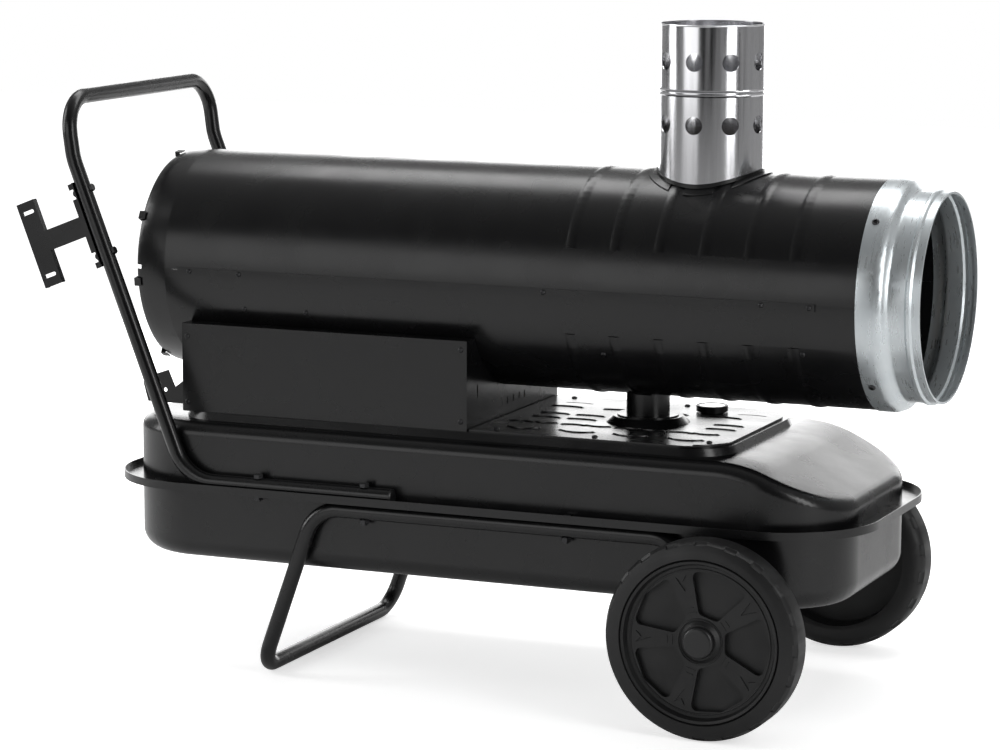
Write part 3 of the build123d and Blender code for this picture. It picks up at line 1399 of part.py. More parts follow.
def main():
    os.makedirs("parts", exist_ok=True)
    for name, maker in NODES.items():
        write_node(name, maker())
    wheel = make_wheel()
    cap = make_hub_cap()
    for side, word in ((-1, "near"), (1, "far")):
        write_node(f"wheel_{word}", place_wheel(wheel, side))
        write_node(f"hub_cap_{word}", place_wheel(cap, side))


if __name__ == "__main__":
    main()
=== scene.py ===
# %% [markdown]
# This lesson dresses an indirect-fired diesel heater. The solid parts come from the packed
# CAD model, which stays as it is. What is added here is what a CAD file leaves out: coats,
# brushed metal, screws, a dial, printed marks, and the light of a product photograph.

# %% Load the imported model
import json
from math import cos, pi, radians, sin

import bmesh
import bpy
from mathutils import Matrix, Vector


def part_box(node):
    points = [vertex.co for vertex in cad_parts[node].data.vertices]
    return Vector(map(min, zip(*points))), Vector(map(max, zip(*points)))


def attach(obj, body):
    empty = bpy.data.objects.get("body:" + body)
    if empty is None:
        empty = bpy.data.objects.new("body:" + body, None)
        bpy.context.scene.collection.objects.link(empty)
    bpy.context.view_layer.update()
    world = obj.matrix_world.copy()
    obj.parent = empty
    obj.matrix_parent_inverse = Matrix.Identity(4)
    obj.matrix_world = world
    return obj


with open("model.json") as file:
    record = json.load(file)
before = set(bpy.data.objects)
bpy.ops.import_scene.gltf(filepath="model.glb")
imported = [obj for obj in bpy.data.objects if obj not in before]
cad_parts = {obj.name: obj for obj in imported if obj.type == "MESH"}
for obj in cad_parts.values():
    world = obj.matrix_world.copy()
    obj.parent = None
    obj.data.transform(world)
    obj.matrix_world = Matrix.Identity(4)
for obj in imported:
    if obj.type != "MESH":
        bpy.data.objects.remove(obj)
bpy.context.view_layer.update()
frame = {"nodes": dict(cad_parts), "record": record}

NODES = frame["nodes"]
SLOTS = {part["node"]: part["material_slot"] for part in frame["record"]["subparts"]}

# %% [markdown]
# The parts arrive as flat triangles. On the real sheet metal, curved faces shade smoothly
# and folds stay crisp. Welding the doubled points and splitting at steep edges gives both,
# and weighted normals keep the large flat faces from bending light near a fillet.

# %% Shade curved faces smoothly
CREASE = radians(33)
WELD_GAP = 2e-5
FLAT_WEIGHT = 80


def shade(obj, crease=CREASE):
    """Smooth shading that stops at steep edges, through modifiers only."""
    obj.data.polygons.foreach_set("use_smooth", [True] * len(obj.data.polygons))
    weld = obj.modifiers.new("weld", "WELD")
    weld.merge_threshold = WELD_GAP
    split = obj.modifiers.new("crease", "EDGE_SPLIT")
    split.split_angle = crease
    split.use_edge_sharp = False
    weighted = obj.modifiers.new("flats", "WEIGHTED_NORMAL")
    weighted.weight = FLAT_WEIGHT


for node in NODES.values():
    shade(node)
print("shaded", len(NODES), "nodes")

# %% [markdown]
# Every finish is a Principled shader with a little unevenness, because a perfectly even
# surface looks like plastic. Noise on Object coordinates needs no image and no unwrapping,
# and it stays fixed to the part when a wheel or the fan turns.

# %% Helpers for finishes
NOISE_SPAN = (0.3, 0.7)


def principled(name, color, metallic=0.0, roughness=0.5):
    """A new material with its main values set."""
    mat = bpy.data.materials.new(name)
    mat.use_nodes = True
    shader = mat.node_tree.nodes["Principled BSDF"]
    shader.inputs["Base Color"].default_value = (*color, 1.0)
    shader.inputs["Metallic"].default_value = metallic
    shader.inputs["Roughness"].default_value = roughness
    return mat


def noise(mat, scale, stretch=(1.0, 1.0, 1.0), detail=3.0):
    """A noise texture on the object's own coordinates, in features per metre."""
    tree = mat.node_tree
    coordinates = tree.nodes.new("ShaderNodeTexCoord")
    mapping = tree.nodes.new("ShaderNodeMapping")
    mapping.inputs["Scale"].default_value = stretch
    texture = tree.nodes.new("ShaderNodeTexNoise")
    texture.inputs["Scale"].default_value = scale
    texture.inputs["Detail"].default_value = detail
    tree.links.new(coordinates.outputs["Object"], mapping.inputs["Vector"])
    tree.links.new(mapping.outputs["Vector"], texture.inputs["Vector"])
    return texture.outputs["Fac"]


def map_range(tree, source, span_in, span_out):
    """A node that stretches a value from one span to another."""
    spread = tree.nodes.new("ShaderNodeMapRange")
    spread.inputs["From Min"].default_value = span_in[0]
    spread.inputs["From Max"].default_value = span_in[1]
    spread.inputs["To Min"].default_value = span_out[0]
    spread.inputs["To Max"].default_value = span_out[1]
    tree.links.new(source, spread.inputs["Value"])
    return spread


def vary(mat, socket, source, low, high):
    """Lets a noise move one value of the shader between low and high."""
    tree = mat.node_tree
    spread = map_range(tree, source, NOISE_SPAN, (low, high))
    tree.links.new(spread.outputs["Result"], tree.nodes["Principled BSDF"].inputs[socket])


def roughen(mat, source, depth, strength=1.0):
    """Raises the surface by a noise, with depth in metres."""
    tree = mat.node_tree
    relief = tree.nodes.new("ShaderNodeBump")
    relief.inputs["Distance"].default_value = depth
    relief.inputs["Strength"].default_value = strength
    tree.links.new(source, relief.inputs["Height"])
    tree.links.new(relief.outputs["Normal"], tree.nodes["Principled BSDF"].inputs["Normal"])


def mottle(mat, source, dark, pale):
    """Mixes two colours by a noise."""
    tree = mat.node_tree
    mix = tree.nodes.new("ShaderNodeMix")
    mix.data_type = "RGBA"
    mix.inputs["A"].default_value = (*dark, 1.0)
    mix.inputs["B"].default_value = (*pale, 1.0)
    tree.links.new(source, mix.inputs["Factor"])
    tree.links.new(mix.outputs["Result"], tree.nodes["Principled BSDF"].inputs["Base Color"])


print("finish helpers ready")

# %% [markdown]
# The sheet metal has a black satin powder coat. Powder melts into a skin with a very fine
# orange peel, so the reflection of the studio is soft and slightly grainy. Two noises do
# this: a fine one for the peel and a broad one that makes the gloss drift from place to place.

# %% Black powder coat
black_coat = principled("black_coat", (0.0048, 0.0048, 0.0052), 0.0, 0.3)
vary(black_coat, "Roughness", noise(black_coat, 14.0), 0.22, 0.30)
roughen(black_coat, noise(black_coat, 1500.0, detail=1.0), 0.00002, 0.5)
print("coat ready:", black_coat.name)

# %% [markdown]
# The stack is stainless sheet and the outlet spigot is zinc-plated. Stainless keeps faint
# grinding lines along its height. Zinc has cloudy patches, bluish and dull beside bright,
# with faint drawing marks round the spigot, so its noise is squeezed along the drum.

# %% Bare metals
stainless = principled("stainless", (0.74, 0.74, 0.76), 1.0, 0.16)
vary(stainless, "Roughness", noise(stainless, 9.0, (14.0, 14.0, 0.4)), 0.10, 0.22)
roughen(stainless, noise(stainless, 160.0, (6.0, 6.0, 0.1), 2.0), 0.00002, 0.35)

zinc = principled("zinc", (0.66, 0.70, 0.73), 0.72, 0.27)
zinc_cloud = noise(zinc, 34.0, (1.0, 1.0, 1.0), 5.0)
mottle(zinc, zinc_cloud, (0.60, 0.65, 0.68), (0.74, 0.78, 0.79))
vary(zinc, "Roughness", noise(zinc, 60.0, (4.0, 0.6, 0.6)), 0.25, 0.36)
roughen(zinc, noise(zinc, 110.0, (8.0, 0.25, 0.25), 2.0), 0.00003, 0.5)

steel = principled("steel", (0.52, 0.52, 0.54), 1.0, 0.34)
vary(steel, "Roughness", noise(steel, 60.0), 0.28, 0.42)
fixing = principled("fixing", (0.05, 0.05, 0.052), 0.85, 0.33)
vary(fixing, "Roughness", noise(fixing, 220.0), 0.26, 0.40)
heat_steel = principled("heat_steel", (0.07, 0.062, 0.056), 0.7, 0.5)
mottle(heat_steel, noise(heat_steel, 22.0), (0.045, 0.04, 0.038), (0.11, 0.092, 0.078))
vary(heat_steel, "Roughness", noise(heat_steel, 30.0), 0.42, 0.6)
cast_alloy = principled("cast_alloy", (0.50, 0.51, 0.53), 1.0, 0.42)
roughen(cast_alloy, noise(cast_alloy, 700.0), 0.00006, 0.5)
brass = principled("brass", (0.62, 0.44, 0.19), 1.0, 0.28)
vary(brass, "Roughness", noise(brass, 150.0), 0.2, 0.36)
copper_pipe = principled("copper_pipe", (0.60, 0.30, 0.18), 1.0, 0.3)
vary(copper_pipe, "Roughness", noise(copper_pipe, 80.0), 0.22, 0.4)
print("bare metals ready")

# %% [markdown]
# Moulded parts are duller than the coat. The tyres are nearly matt with a fine pore, the
# caps and the gauge have a light grain, and the switch and the lamp are glossy.

# %% Plastics, rubber and ceramic
SOFT_SLOTS = {
    "black_plastic": ((0.011, 0.011, 0.0115), 0.38, 900.0),
    "gloss_black": ((0.012, 0.012, 0.013), 0.16, 300.0),
    "red_plastic": ((0.45, 0.012, 0.010), 0.25, 300.0),
    "lamp_lens": ((0.75, 0.22, 0.012), 0.12, 200.0),
    "clear_bowl": ((0.55, 0.58, 0.56), 0.20, 200.0),
    "board_green": ((0.012, 0.09, 0.035), 0.45, 400.0),
    "float_white": ((0.70, 0.70, 0.67), 0.40, 400.0),
    "wheel_black": ((0.0045, 0.0045, 0.0048), 0.46, 1100.0),
    "ceramic": ((0.78, 0.76, 0.70), 0.18, 200.0),
}
LOOKS = {
    "black_coat": black_coat, "stainless": stainless, "zinc": zinc, "steel": steel,
    "fixing": fixing, "heat_steel": heat_steel, "cast_alloy": cast_alloy, "brass": brass,
    "copper_pipe": copper_pipe,
}
for slot_name, (color, gloss, grain) in SOFT_SLOTS.items():
    soft = principled(slot_name, color, 0.0, gloss)
    vary(soft, "Roughness", noise(soft, 25.0), gloss * 0.85, gloss * 1.2)
    roughen(soft, noise(soft, grain, detail=1.0), 0.00004, 0.4)
    LOOKS[slot_name] = soft


def paint(obj, mat):
    """Gives a mesh one material on all its faces."""
    obj.data.materials.clear()
    obj.data.materials.append(mat)


for name, node in NODES.items():
    paint(node, LOOKS[SLOTS[name]])
print(len(LOOKS), "finishes on", len(NODES), "nodes")

# %% [markdown]
# The gauge's pointer and its disc are one moulding in two colours: a white disc with a red
# hand printed on it. Height tells them apart, so the shader compares the object's own Z.

# %% Two-colour pointer
HAND_RELIEF = 0.0005
pointer_low, pointer_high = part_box("gauge_pointer")
pointer_look = principled("pointer_print", (0.8, 0.8, 0.78), 0.0, 0.35)
tree = pointer_look.node_tree
height = tree.nodes.new("ShaderNodeSeparateXYZ")
place = tree.nodes.new("ShaderNodeTexCoord")
above = tree.nodes.new("ShaderNodeMath")
above.operation = "GREATER_THAN"
above.inputs[1].default_value = pointer_high[2] - HAND_RELIEF
tree.links.new(place.outputs["Object"], height.inputs["Vector"])
tree.links.new(height.outputs["Z"], above.inputs[0])
mottle(pointer_look, above.outputs["Value"], (0.78, 0.78, 0.75), (0.5, 0.015, 0.01))
paint(NODES["gauge_pointer"], pointer_look)
print("pointer is", round(pointer_high[2] - pointer_low[2], 3), "m tall with its spindle")

# %% [markdown]
# New pieces are built as meshes in the heater's own frame, so each object sits at the origin. One
# helper turns a bmesh into a piece, hands it to the body it moves with, and paints it with a finish
# picked by the record's slot name.

# %% Helpers for pieces
DOME = ((1.0, 0.0), (1.0, 0.25), (0.86, 0.72), (0.6, 1.0))
LOBES = 6
RECESS_REACH = 0.40
LOBE_REACH = 0.07
RECESS_FLOOR = 0.35


def finish_piece(name, mesh, slot, body="chassis", mat=None, crease=CREASE):
    """Makes an object from a bmesh and joins it to a body of the model."""
    bmesh.ops.recalc_face_normals(mesh, faces=mesh.faces)
    data = bpy.data.meshes.new(name)
    mesh.to_mesh(data)
    mesh.free()
    obj = bpy.data.objects.new(name, data)
    bpy.context.scene.collection.objects.link(obj)
    paint(obj, mat or LOOKS[slot])
    shade(obj, crease)
    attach(obj, body)
    return obj


def lathe(mesh, profile, matrix, steps=32):
    """Turns a profile of (radius, height) points about local Z."""
    rings = []
    for radius, z in profile:
        ring = []
        for i in range(steps):
            turn = 2 * pi * i / steps
            point = Vector((radius * cos(turn), radius * sin(turn), z))
            ring.append(mesh.verts.new(matrix @ point))
        rings.append(ring)
    for lower, upper in zip(rings, rings[1:]):
        for i in range(steps):
            j = (i + 1) % steps
            mesh.faces.new((lower[i], lower[j], upper[j], upper[i]))
    return rings


def cap(mesh, ring):
    """Closes a ring with one flat face."""
    mesh.faces.new(ring)


def block(mesh, size, matrix):
    """A small box, centred on the matrix."""
    bmesh.ops.create_cube(mesh, size=1.0, matrix=matrix @ Matrix.Diagonal((*size, 1.0)))


def screw_head(mesh, radius, rise, matrix, steps=24):
    """A domed head with a six-lobed recess, seated at the matrix."""
    profile = [(radius * across, rise * up) for across, up in DOME]
    rings = lathe(mesh, profile, matrix, steps)
    cap(mesh, rings[0][::-1])
    inner = []
    for depth in (rise, rise * RECESS_FLOOR):
        ring = []
        for i in range(steps):
            turn = 2 * pi * i / steps
            reach = radius * (RECESS_REACH + LOBE_REACH * cos(LOBES * turn))
            point = Vector((reach * cos(turn), reach * sin(turn), depth))
            ring.append(mesh.verts.new(matrix @ point))
        inner.append(ring)
    for lower, upper in ((rings[-1], inner[0]), (inner[0], inner[1])):
        for i in range(steps):
            j = (i + 1) % steps
            mesh.faces.new((lower[i], lower[j], upper[j], upper[i]))
    cap(mesh, inner[1])


def torus(mesh, radius, thickness, matrix, steps=96, sides=10):
    """A round ring about local Z."""
    profile = []
    for i in range(sides + 1):
        turn = 2 * pi * i / sides
        profile.append((radius + thickness * cos(turn), thickness * sin(turn)))
    rings = lathe(mesh, profile, matrix, steps)
    bmesh.ops.remove_doubles(mesh, verts=rings[0] + rings[-1], dist=1e-7)


print("piece helpers ready")

# %% [markdown]
# The two halves of the drum are screwed together along the lap seam, and the spigot is
# held by screws round its band. Their heads are too small for the CAD file. Each place is
# worked out from the drum's radius and an angle, so the heads sit square on the round sheet.

# %% Drum screws
AXIS_Z = 0.573
DRUM_R = 0.160
LAP_R = DRUM_R + 0.0024
COLLAR_R = DRUM_R + 0.0014
SEAM_SCREW = (0.0038, 0.0024)
UNDER_SCREW = (0.0036, 0.0022)
COLLAR_SCREW = (0.0052, 0.0026)
SEAM_ANGLE = -0.6
SEAM_XS = (-0.418, -0.338, 0.135, 0.453, 0.521)
UNDER_SPOTS = ((-0.334, -19.5), (-0.236, -19.3), (0.215, -33.2), (0.508, -25.2))
COLLAR_ANGLES = (44.6, -43.6, 135.4, 223.6)
BAND_INSET = 0.013
COLLAR_SCREW_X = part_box("outlet_collar")[0][0] + BAND_INSET


def on_drum(x, angle, radius):
    """A place on the drum that faces outwards, angle degrees up from the near side."""
    turn = radians(angle)
    out = Vector((0.0, -cos(turn), sin(turn)))
    along = Vector((1.0, 0.0, 0.0))
    side = out.cross(along)
    frame_at = Matrix((along, side, out)).transposed().to_4x4()
    return Matrix.Translation(Vector((x, 0.0, AXIS_Z)) + out * radius) @ frame_at


seam_screws = bmesh.new()
for x in SEAM_XS:
    for angle in (SEAM_ANGLE, 180.0 - SEAM_ANGLE):
        screw_head(seam_screws, *SEAM_SCREW, on_drum(x, angle, LAP_R))
for x, low_angle in UNDER_SPOTS:
    for angle in (low_angle, 180.0 - low_angle):
        screw_head(seam_screws, *UNDER_SCREW, on_drum(x, angle, DRUM_R))
collar_screws = bmesh.new()
for angle in COLLAR_ANGLES:
    screw_head(collar_screws, *COLLAR_SCREW, on_drum(COLLAR_SCREW_X, angle, COLLAR_R))
finish_piece("drum_screw_heads", seam_screws, "fixing")
finish_piece("collar_screw_heads", collar_screws, "fixing")
print("drum screws placed")

# %% [markdown]
# The box under the drum is closed with self-tapping screws at its corners, and a few more
# hold the slotted shield to the tank. They are the same head on different planes.

# %% Panel and shield screws
PANEL_SCREW = (0.0038, 0.0022)
SHIELD_SCREW = (0.0042, 0.0024)
SHIELD_HEIGHT = 0.0032
near_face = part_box("side_cover")[0][1]
far_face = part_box("control_panel")[1][1]
shield_low, shield_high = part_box("heat_shield")
shield_top = shield_low[2] + SHIELD_HEIGHT
COVER_CORNERS = ((0.014, 0.484), (0.014, 0.382), (-0.418, 0.478), (-0.418, 0.382))
SHIELD_SPOTS = (
    (0.060, -0.148), (0.209, -0.150), (0.370, -0.128), (0.060, 0.148), (0.238, 0.148),
)
panel_screws = bmesh.new()
for x, z in COVER_CORNERS:
    near = Matrix.Translation((x, near_face, z)) @ Matrix.Rotation(radians(90), 4, "X")
    far = Matrix.Translation((x, far_face, z)) @ Matrix.Rotation(radians(-90), 4, "X")
    screw_head(panel_screws, *PANEL_SCREW, near)
    screw_head(panel_screws, *PANEL_SCREW, far)
for x, y in SHIELD_SPOTS:
    screw_head(panel_screws, *SHIELD_SCREW, Matrix.Translation((x, y, shield_top)))
finish_piece("panel_screw_heads", panel_screws, "fixing")
print("panel screws placed")

# %% [markdown]
# The shield's slots are louvres: the press lifts the sheet along the far side of each slot,
# and that lip is what makes the slots read as bold dark curves from a low camera. The lips
# follow the CAD part itself. Every upright wall of a slot that faces the near side gets one,
# and its height fades where the wall turns away, so each lip ends in a taper.

# %% Louvre lips on the shield
LIP_RISE = 0.0016
LIP_RUN = 0.0042
LIP_TURN = 0.25
LIP_FADE = 0.6
LIP_SUNK = 0.0003
CREST_BACK = 0.0006
MARGIN = 0.004
SUPPORT_X = 0.232
BOSS_REACH = 0.062
ON_TOP = 0.0002
shield_mesh = NODES["heat_shield"].data
filler_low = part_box("filler_neck")[0]


def is_slot_wall(middle, normal):
    """True for the far wall of a slot, and not for a rim, a round hole or the boss."""
    if abs(normal.z) > 0.1 or normal.y > -LIP_TURN:
        return False
    on_rim = middle.y < shield_low[1] + MARGIN or middle.y > shield_high[1] - MARGIN
    by_controls = middle.y > filler_low[1] - MARGIN
    by_boss = (middle.x - SUPPORT_X) ** 2 + middle.y**2 < BOSS_REACH**2
    return not (on_rim or by_controls or by_boss)


def corner_key(point):
    """Names a corner of the plan, so that neighbouring walls can share it."""
    return round(point.x, 5), round(point.y, 5)


lip_edges = []
wall_normals = {}
for face in shield_mesh.polygons:
    if not is_slot_wall(face.center, face.normal):
        continue
    corners = [shield_mesh.vertices[v].co.copy() for v in face.vertices]
    points = [corner for corner in corners if abs(corner.z - shield_top) < ON_TOP]
    if len(points) != 2:
        continue
    lip_edges.append(points)
    for point in points:
        key = corner_key(point)
        wall_normals[key] = wall_normals.get(key, Vector()) + face.normal
lips = bmesh.new()
for points in lip_edges:
    ring = []
    for point in points:
        facing = wall_normals[corner_key(point)].normalized()
        share = max(0.0, (-facing.y - LIP_TURN) / (1.0 - LIP_TURN)) ** LIP_FADE
        base = Vector((point.x, point.y, shield_top - LIP_SUNK))
        crest = base + Vector((0, 0, LIP_SUNK + LIP_RISE * share)) - facing * CREST_BACK
        foot = base - facing * LIP_RUN
        ring.append([lips.verts.new(v) for v in (base, crest, foot)])
    for i in range(3):
        j = (i + 1) % 3
        lips.faces.new((ring[0][i], ring[1][i], ring[1][j], ring[0][j]))
bmesh.ops.remove_doubles(lips, verts=lips.verts, dist=1e-6)
finish_piece("shield_louvre_lips", lips, "black_coat")
print(len(lip_edges), "stretches of lip")

# %% [markdown]
# The stack is rolled from sheet: its edges meet in a folded seam down one side, and its
# top edge is turned over so that it doesn't cut. A thin strip and a small ring show both.

# %% Stack seam and rolled edge
flue_low, flue_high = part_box("flue_tube")
FLUE_X = (flue_low[0] + flue_high[0]) / 2
FLUE_R = 0.0744
EDGE_T = 0.0011
EDGE_DROP = 0.0012
SEAM_TURN = radians(-38)
SEAM_Z = 0.842
SEAM_STRIP = (0.0010, 0.006, 0.19)
stack = bmesh.new()
torus(stack, FLUE_R, EDGE_T, Matrix.Translation((FLUE_X, 0.0, flue_high[2] - EDGE_DROP)))
seam_at = Matrix.Translation((FLUE_X, 0.0, SEAM_Z)) @ Matrix.Rotation(SEAM_TURN, 4, "Z")
block(stack, SEAM_STRIP, seam_at @ Matrix.Translation((FLUE_R + 0.0002, 0.0, 0.0)))
finish_piece("stack_seam", stack, "stainless")
print("stack radius", FLUE_R, "centre", round(FLUE_X, 4))

# %% [markdown]
# The fuel gauge shows a level through a clear cover. A pale ring with plain ticks lies
# round the pointer's disc. It has no figures, so it says nothing that the real dial doesn't.

# %% Gauge dial and cover
gauge_low, gauge_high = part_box("fuel_gauge")
GAUGE = Vector(((gauge_low[0] + gauge_high[0]) / 2, (gauge_low[1] + gauge_high[1]) / 2, 0.0))
DIAL_RADII = (0.0172, 0.0198)
DIAL_STEPS = 48
TICKS = 9
TICK_SWEEP = 270.0
TICK_RADIUS = 0.0185
TICK_LENGTHS = (0.0022, 0.0013)
TICK_WIDTH = 0.0005
TICK_T = 0.0002
DIAL_DROP = 0.0012
dial_z = pointer_high[2] - DIAL_DROP
dial_at = Matrix.Translation((GAUGE.x, GAUGE.y, dial_z))
tick_at = Matrix.Translation((GAUGE.x, GAUGE.y, dial_z + TICK_T))
dial = bmesh.new()
lathe(dial, [(radius, 0.0) for radius in DIAL_RADII], dial_at, DIAL_STEPS)
finish_piece("dial_ring", dial, "float_white")
ticks = bmesh.new()
for i in range(TICKS):
    angle = -TICK_SWEEP / 2 + TICK_SWEEP / (TICKS - 1) * i
    turn = Matrix.Rotation(radians(angle), 4, "Z")
    place = tick_at @ turn @ Matrix.Translation((TICK_RADIUS, 0, 0))
    block(ticks, (TICK_LENGTHS[i % 2], TICK_WIDTH, TICK_T), place)
finish_piece("dial_ticks", ticks, "black_plastic")

cover_look = principled("gauge_cover", (0.95, 0.96, 0.96), 0.0, 0.04)
cover_look.node_tree.nodes["Principled BSDF"].inputs["Transmission Weight"].default_value = 1.0
vary(cover_look, "Roughness", noise(cover_look, 60.0), 0.02, 0.07)
COVER_R = 0.0189
COVER_T = 0.0008
COVER_DROP = 0.0012
cover = bmesh.new()
cover_at = Matrix.Translation((GAUGE.x, GAUGE.y, gauge_high[2] - COVER_DROP))
rings = lathe(cover, [(COVER_R, 0.0), (COVER_R, COVER_T)], cover_at, DIAL_STEPS)
cap(cover, rings[0][::-1])
cap(cover, rings[1])
finish_piece("gauge_cover", cover, "float_white", mat=cover_look)
print("dial at", [round(v, 4) for v in (GAUGE.x, GAUGE.y, dial_z)])

# %% [markdown]
# The control side faces away from the photograph's camera. It carries the plain marks that
# any such panel has: ticks round the thermostat, each a little longer than the last.

# %% Marks on the controls
knob_low, knob_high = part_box("thermostat_knob")
KNOB = Vector(((knob_low[0] + knob_high[0]) / 2, far_face, (knob_low[2] + knob_high[2]) / 2))
KNOB_MARKS = 11
KNOB_SWEEP = 280.0
MARK_RADIUS = 0.0255
MARK_WIDTH = 0.0009
MARK_T = 0.0002
MARK_LENGTH = 0.004
MARK_GROWTH = 0.0002
knob_at = Matrix.Translation(KNOB + Vector((0, MARK_T / 2, 0)))
marks = bmesh.new()
for i in range(KNOB_MARKS):
    angle = -KNOB_SWEEP / 2 + KNOB_SWEEP / (KNOB_MARKS - 1) * i
    turn = Matrix.Rotation(radians(angle), 4, "Y")
    place = knob_at @ turn @ Matrix.Translation((0, 0, MARK_RADIUS))
    block(marks, (MARK_WIDTH, MARK_T, MARK_LENGTH + MARK_GROWTH * i), place)
finish_piece("panel_marks", marks, "float_white")
print("controls marked round", [round(v, 3) for v in KNOB])

# %% [markdown]
# The wheels are moulded in one piece with their tyres. Low ribs run round the hub and
# across the root of each spoke, and they catch the light as short bright dashes.

# %% Ribs on the wheels
SPOKES = 5
DISH_BACK = 0.0085
RIB_T = 0.0012
HUB_RING_R = 0.0310
RIM_RING_R = 0.0990
DASHES = ((0.040, 0.014), (0.047, 0.010))
DASH_T = 0.0016


def wheel_ribs(side):
    """Rings and dashes on one wheel's outer face; side is -1 for the near wheel."""
    word = "near" if side < 0 else "far"
    low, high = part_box("wheel_" + word)
    middle = Vector(((low[0] + high[0]) / 2, 0.0, (low[2] + high[2]) / 2))
    face_y = low[1] if side < 0 else high[1]
    out = Matrix.Rotation(radians(90 if side < 0 else -90), 4, "X")
    dish = Matrix.Translation((middle.x, face_y - side * DISH_BACK, middle.z)) @ out
    ribs = bmesh.new()
    torus(ribs, HUB_RING_R, RIB_T, dish, 64, 8)
    torus(ribs, RIM_RING_R, RIB_T, dish, 96, 8)
    for i in range(SPOKES):
        spoke = dish @ Matrix.Rotation(2 * pi * (i + 0.5) / SPOKES, 4, "Z")
        for reach, width in DASHES:
            block(ribs, (DASH_T, width, DASH_T), spoke @ Matrix.Translation((reach, 0, 0)))
    return finish_piece("wheel_ribs_" + word, ribs, "wheel_black", word + "_wheel")


for wheel_side in (-1, 1):
    wheel_ribs(wheel_side)
print("ribs on two wheels")

# %% [markdown]
# The photograph is a cut-out on white: a pale floor, a white surround, and broad soft
# lights overhead. A black gloss surface shows its surroundings more than its own colour,
# so the room is drawn for its reflections: bright above and behind, dim beside the camera.
# The floor glows for the camera and hardly at all for other rays. The glow grows with
# distance, so that it meets the surround without a line and still keeps the shadow.

# %% Floor and surround
FLOOR_HALF = 9.0
FLOOR_DROP = 0.0004
GLOW_NEAR_FAR = (0.5, 1.6)
GLOW_STRENGTH = (0.6, 1.0)
OTHER_RAYS = 0.05
floor_mesh = bmesh.new()
bmesh.ops.create_grid(floor_mesh, x_segments=1, y_segments=1, size=FLOOR_HALF)
floor_data = bpy.data.meshes.new("floor")
floor_mesh.to_mesh(floor_data)
floor_mesh.free()
floor = bpy.data.objects.new("floor", floor_data)
bpy.context.scene.collection.objects.link(floor)
floor.location.z = -FLOOR_DROP
floor_look = principled("floor", (0.92, 0.92, 0.92), 0.0, 0.9)
floor_look.node_tree.nodes["Principled BSDF"].inputs["Emission Color"].default_value = (1, 1, 1, 1)
tree = floor_look.node_tree
spot = tree.nodes.new("ShaderNodeTexCoord")
distance = tree.nodes.new("ShaderNodeVectorMath")
distance.operation = "LENGTH"
glow = map_range(tree, distance.outputs["Value"], GLOW_NEAR_FAR, GLOW_STRENGTH)
glow.interpolation_type = "SMOOTHSTEP"
seen = tree.nodes.new("ShaderNodeLightPath")
share = map_range(tree, seen.outputs["Is Camera Ray"], (0.0, 1.0), (OTHER_RAYS, 1.0))
strength = tree.nodes.new("ShaderNodeMath")
strength.operation = "MULTIPLY"
tree.links.new(spot.outputs["Object"], distance.inputs[0])
tree.links.new(glow.outputs["Result"], strength.inputs[0])
tree.links.new(share.outputs["Result"], strength.inputs[1])
tree.links.new(strength.outputs["Value"], tree.nodes["Principled BSDF"].inputs["Emission Strength"])
paint(floor, floor_look)

world = bpy.data.worlds.new("studio")
bpy.context.scene.world = world
world.use_nodes = True
tree = world.node_tree
tree.nodes.clear()
direction = tree.nodes.new("ShaderNodeTexCoord")
axes = tree.nodes.new("ShaderNodeSeparateXYZ")
rise = map_range(tree, axes.outputs["Z"], (-0.1, 0.9), (0.30, 0.55))
behind = map_range(tree, axes.outputs["Y"], (-0.9, 0.4), (0.05, 1.0))
product = tree.nodes.new("ShaderNodeMath")
product.operation = "MULTIPLY"
room = tree.nodes.new("ShaderNodeBackground")
white = tree.nodes.new("ShaderNodeBackground")
white.inputs["Color"].default_value = (1, 1, 1, 1)
white.inputs["Strength"].default_value = 1.0
path = tree.nodes.new("ShaderNodeLightPath")
choose = tree.nodes.new("ShaderNodeMixShader")
out = tree.nodes.new("ShaderNodeOutputWorld")
tree.links.new(direction.outputs["Generated"], axes.inputs["Vector"])
tree.links.new(rise.outputs["Result"], product.inputs[0])
tree.links.new(behind.outputs["Result"], product.inputs[1])
tree.links.new(product.outputs["Value"], room.inputs["Strength"])
tree.links.new(path.outputs["Is Camera Ray"], choose.inputs["Fac"])
tree.links.new(room.outputs["Background"], choose.inputs[1])
tree.links.new(white.outputs["Background"], choose.inputs[2])
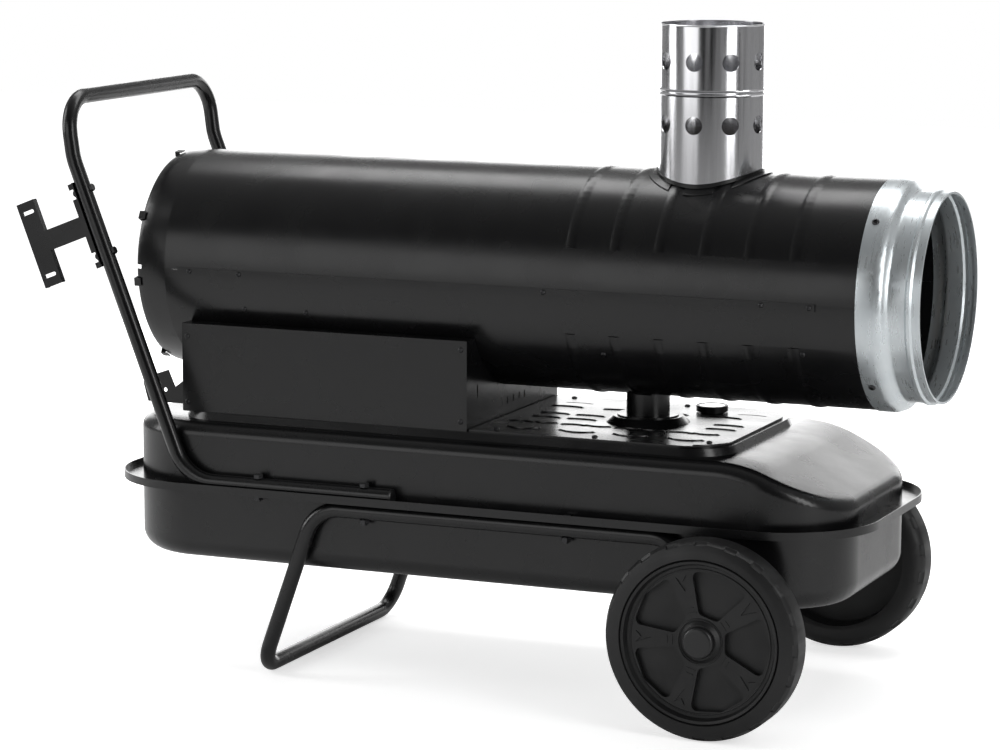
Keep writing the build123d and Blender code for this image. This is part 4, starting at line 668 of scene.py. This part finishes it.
tree.links.new(choose.outputs["Shader"], out.inputs["Surface"])
print("floor and surround ready")

# %% [markdown]
# Five soft boxes light the heater. The long one overhead draws the bright band along the
# top of the drum, and a wide panel behind puts the sheen on the tank's flat top. The two at
# the sides pick out the ends and the bent tubes, and a tall one in front lights the drum's
# waist. The camera doesn't see them, so only their reflections show.

# %% Lights
AIM = Vector((0.0, 0.0, 0.45))


def soft_box(name, place, width, height, power):
    """A rectangular area light that looks at the heater."""
    data = bpy.data.lights.new(name, "AREA")
    data.shape = "RECTANGLE"
    data.size = width
    data.size_y = height
    data.energy = power
    lamp = bpy.data.objects.new(name, data)
    lamp.location = place
    lamp.visible_camera = False
    lamp.rotation_euler = (AIM - Vector(place)).to_track_quat("-Z", "Y").to_euler()
    bpy.context.scene.collection.objects.link(lamp)
    return lamp


soft_box("top_box", (0.1, 1.0, 2.9), 3.4, 1.0, 42.0)
soft_box("back_panel", (-1.2, 3.3, 1.0), 5.0, 1.5, 70.0)
soft_box("left_box", (-3.0, -0.9, 1.6), 1.2, 2.2, 34.0)
soft_box("right_box", (2.9, -1.4, 1.5), 1.0, 2.0, 30.0)
soft_box("front_panel", (-1.7, -3.9, 1.45), 2.8, 2.1, 26.0)
print("five soft boxes")

# %% [markdown]
# The camera stands where the photographer's did: nearly five metres away with a long lens,
# a little above the drum and turned towards the intake end.

# %% Camera
EYE = Vector((1.96379, -4.64246, 1.22157))
PITCH = 9.0
YAW = 22.93
ROLL = -0.17
FOCAL_PIXELS = 3521.56
IMAGE_WIDTH = 1000.0
SENSOR = 36.0
camera_data = bpy.data.cameras.new("photo_camera")
camera_data.sensor_width = SENSOR
camera_data.lens = FOCAL_PIXELS * SENSOR / IMAGE_WIDTH
camera = bpy.data.objects.new("photo_camera", camera_data)
camera.location = EYE
camera.rotation_euler = (radians(90 - PITCH), radians(ROLL), radians(YAW))
bpy.context.scene.collection.objects.link(camera)
bpy.context.scene.camera = camera
bpy.context.scene.view_settings.view_transform = "Standard"
print("camera lens", round(camera_data.lens, 1), "mm")
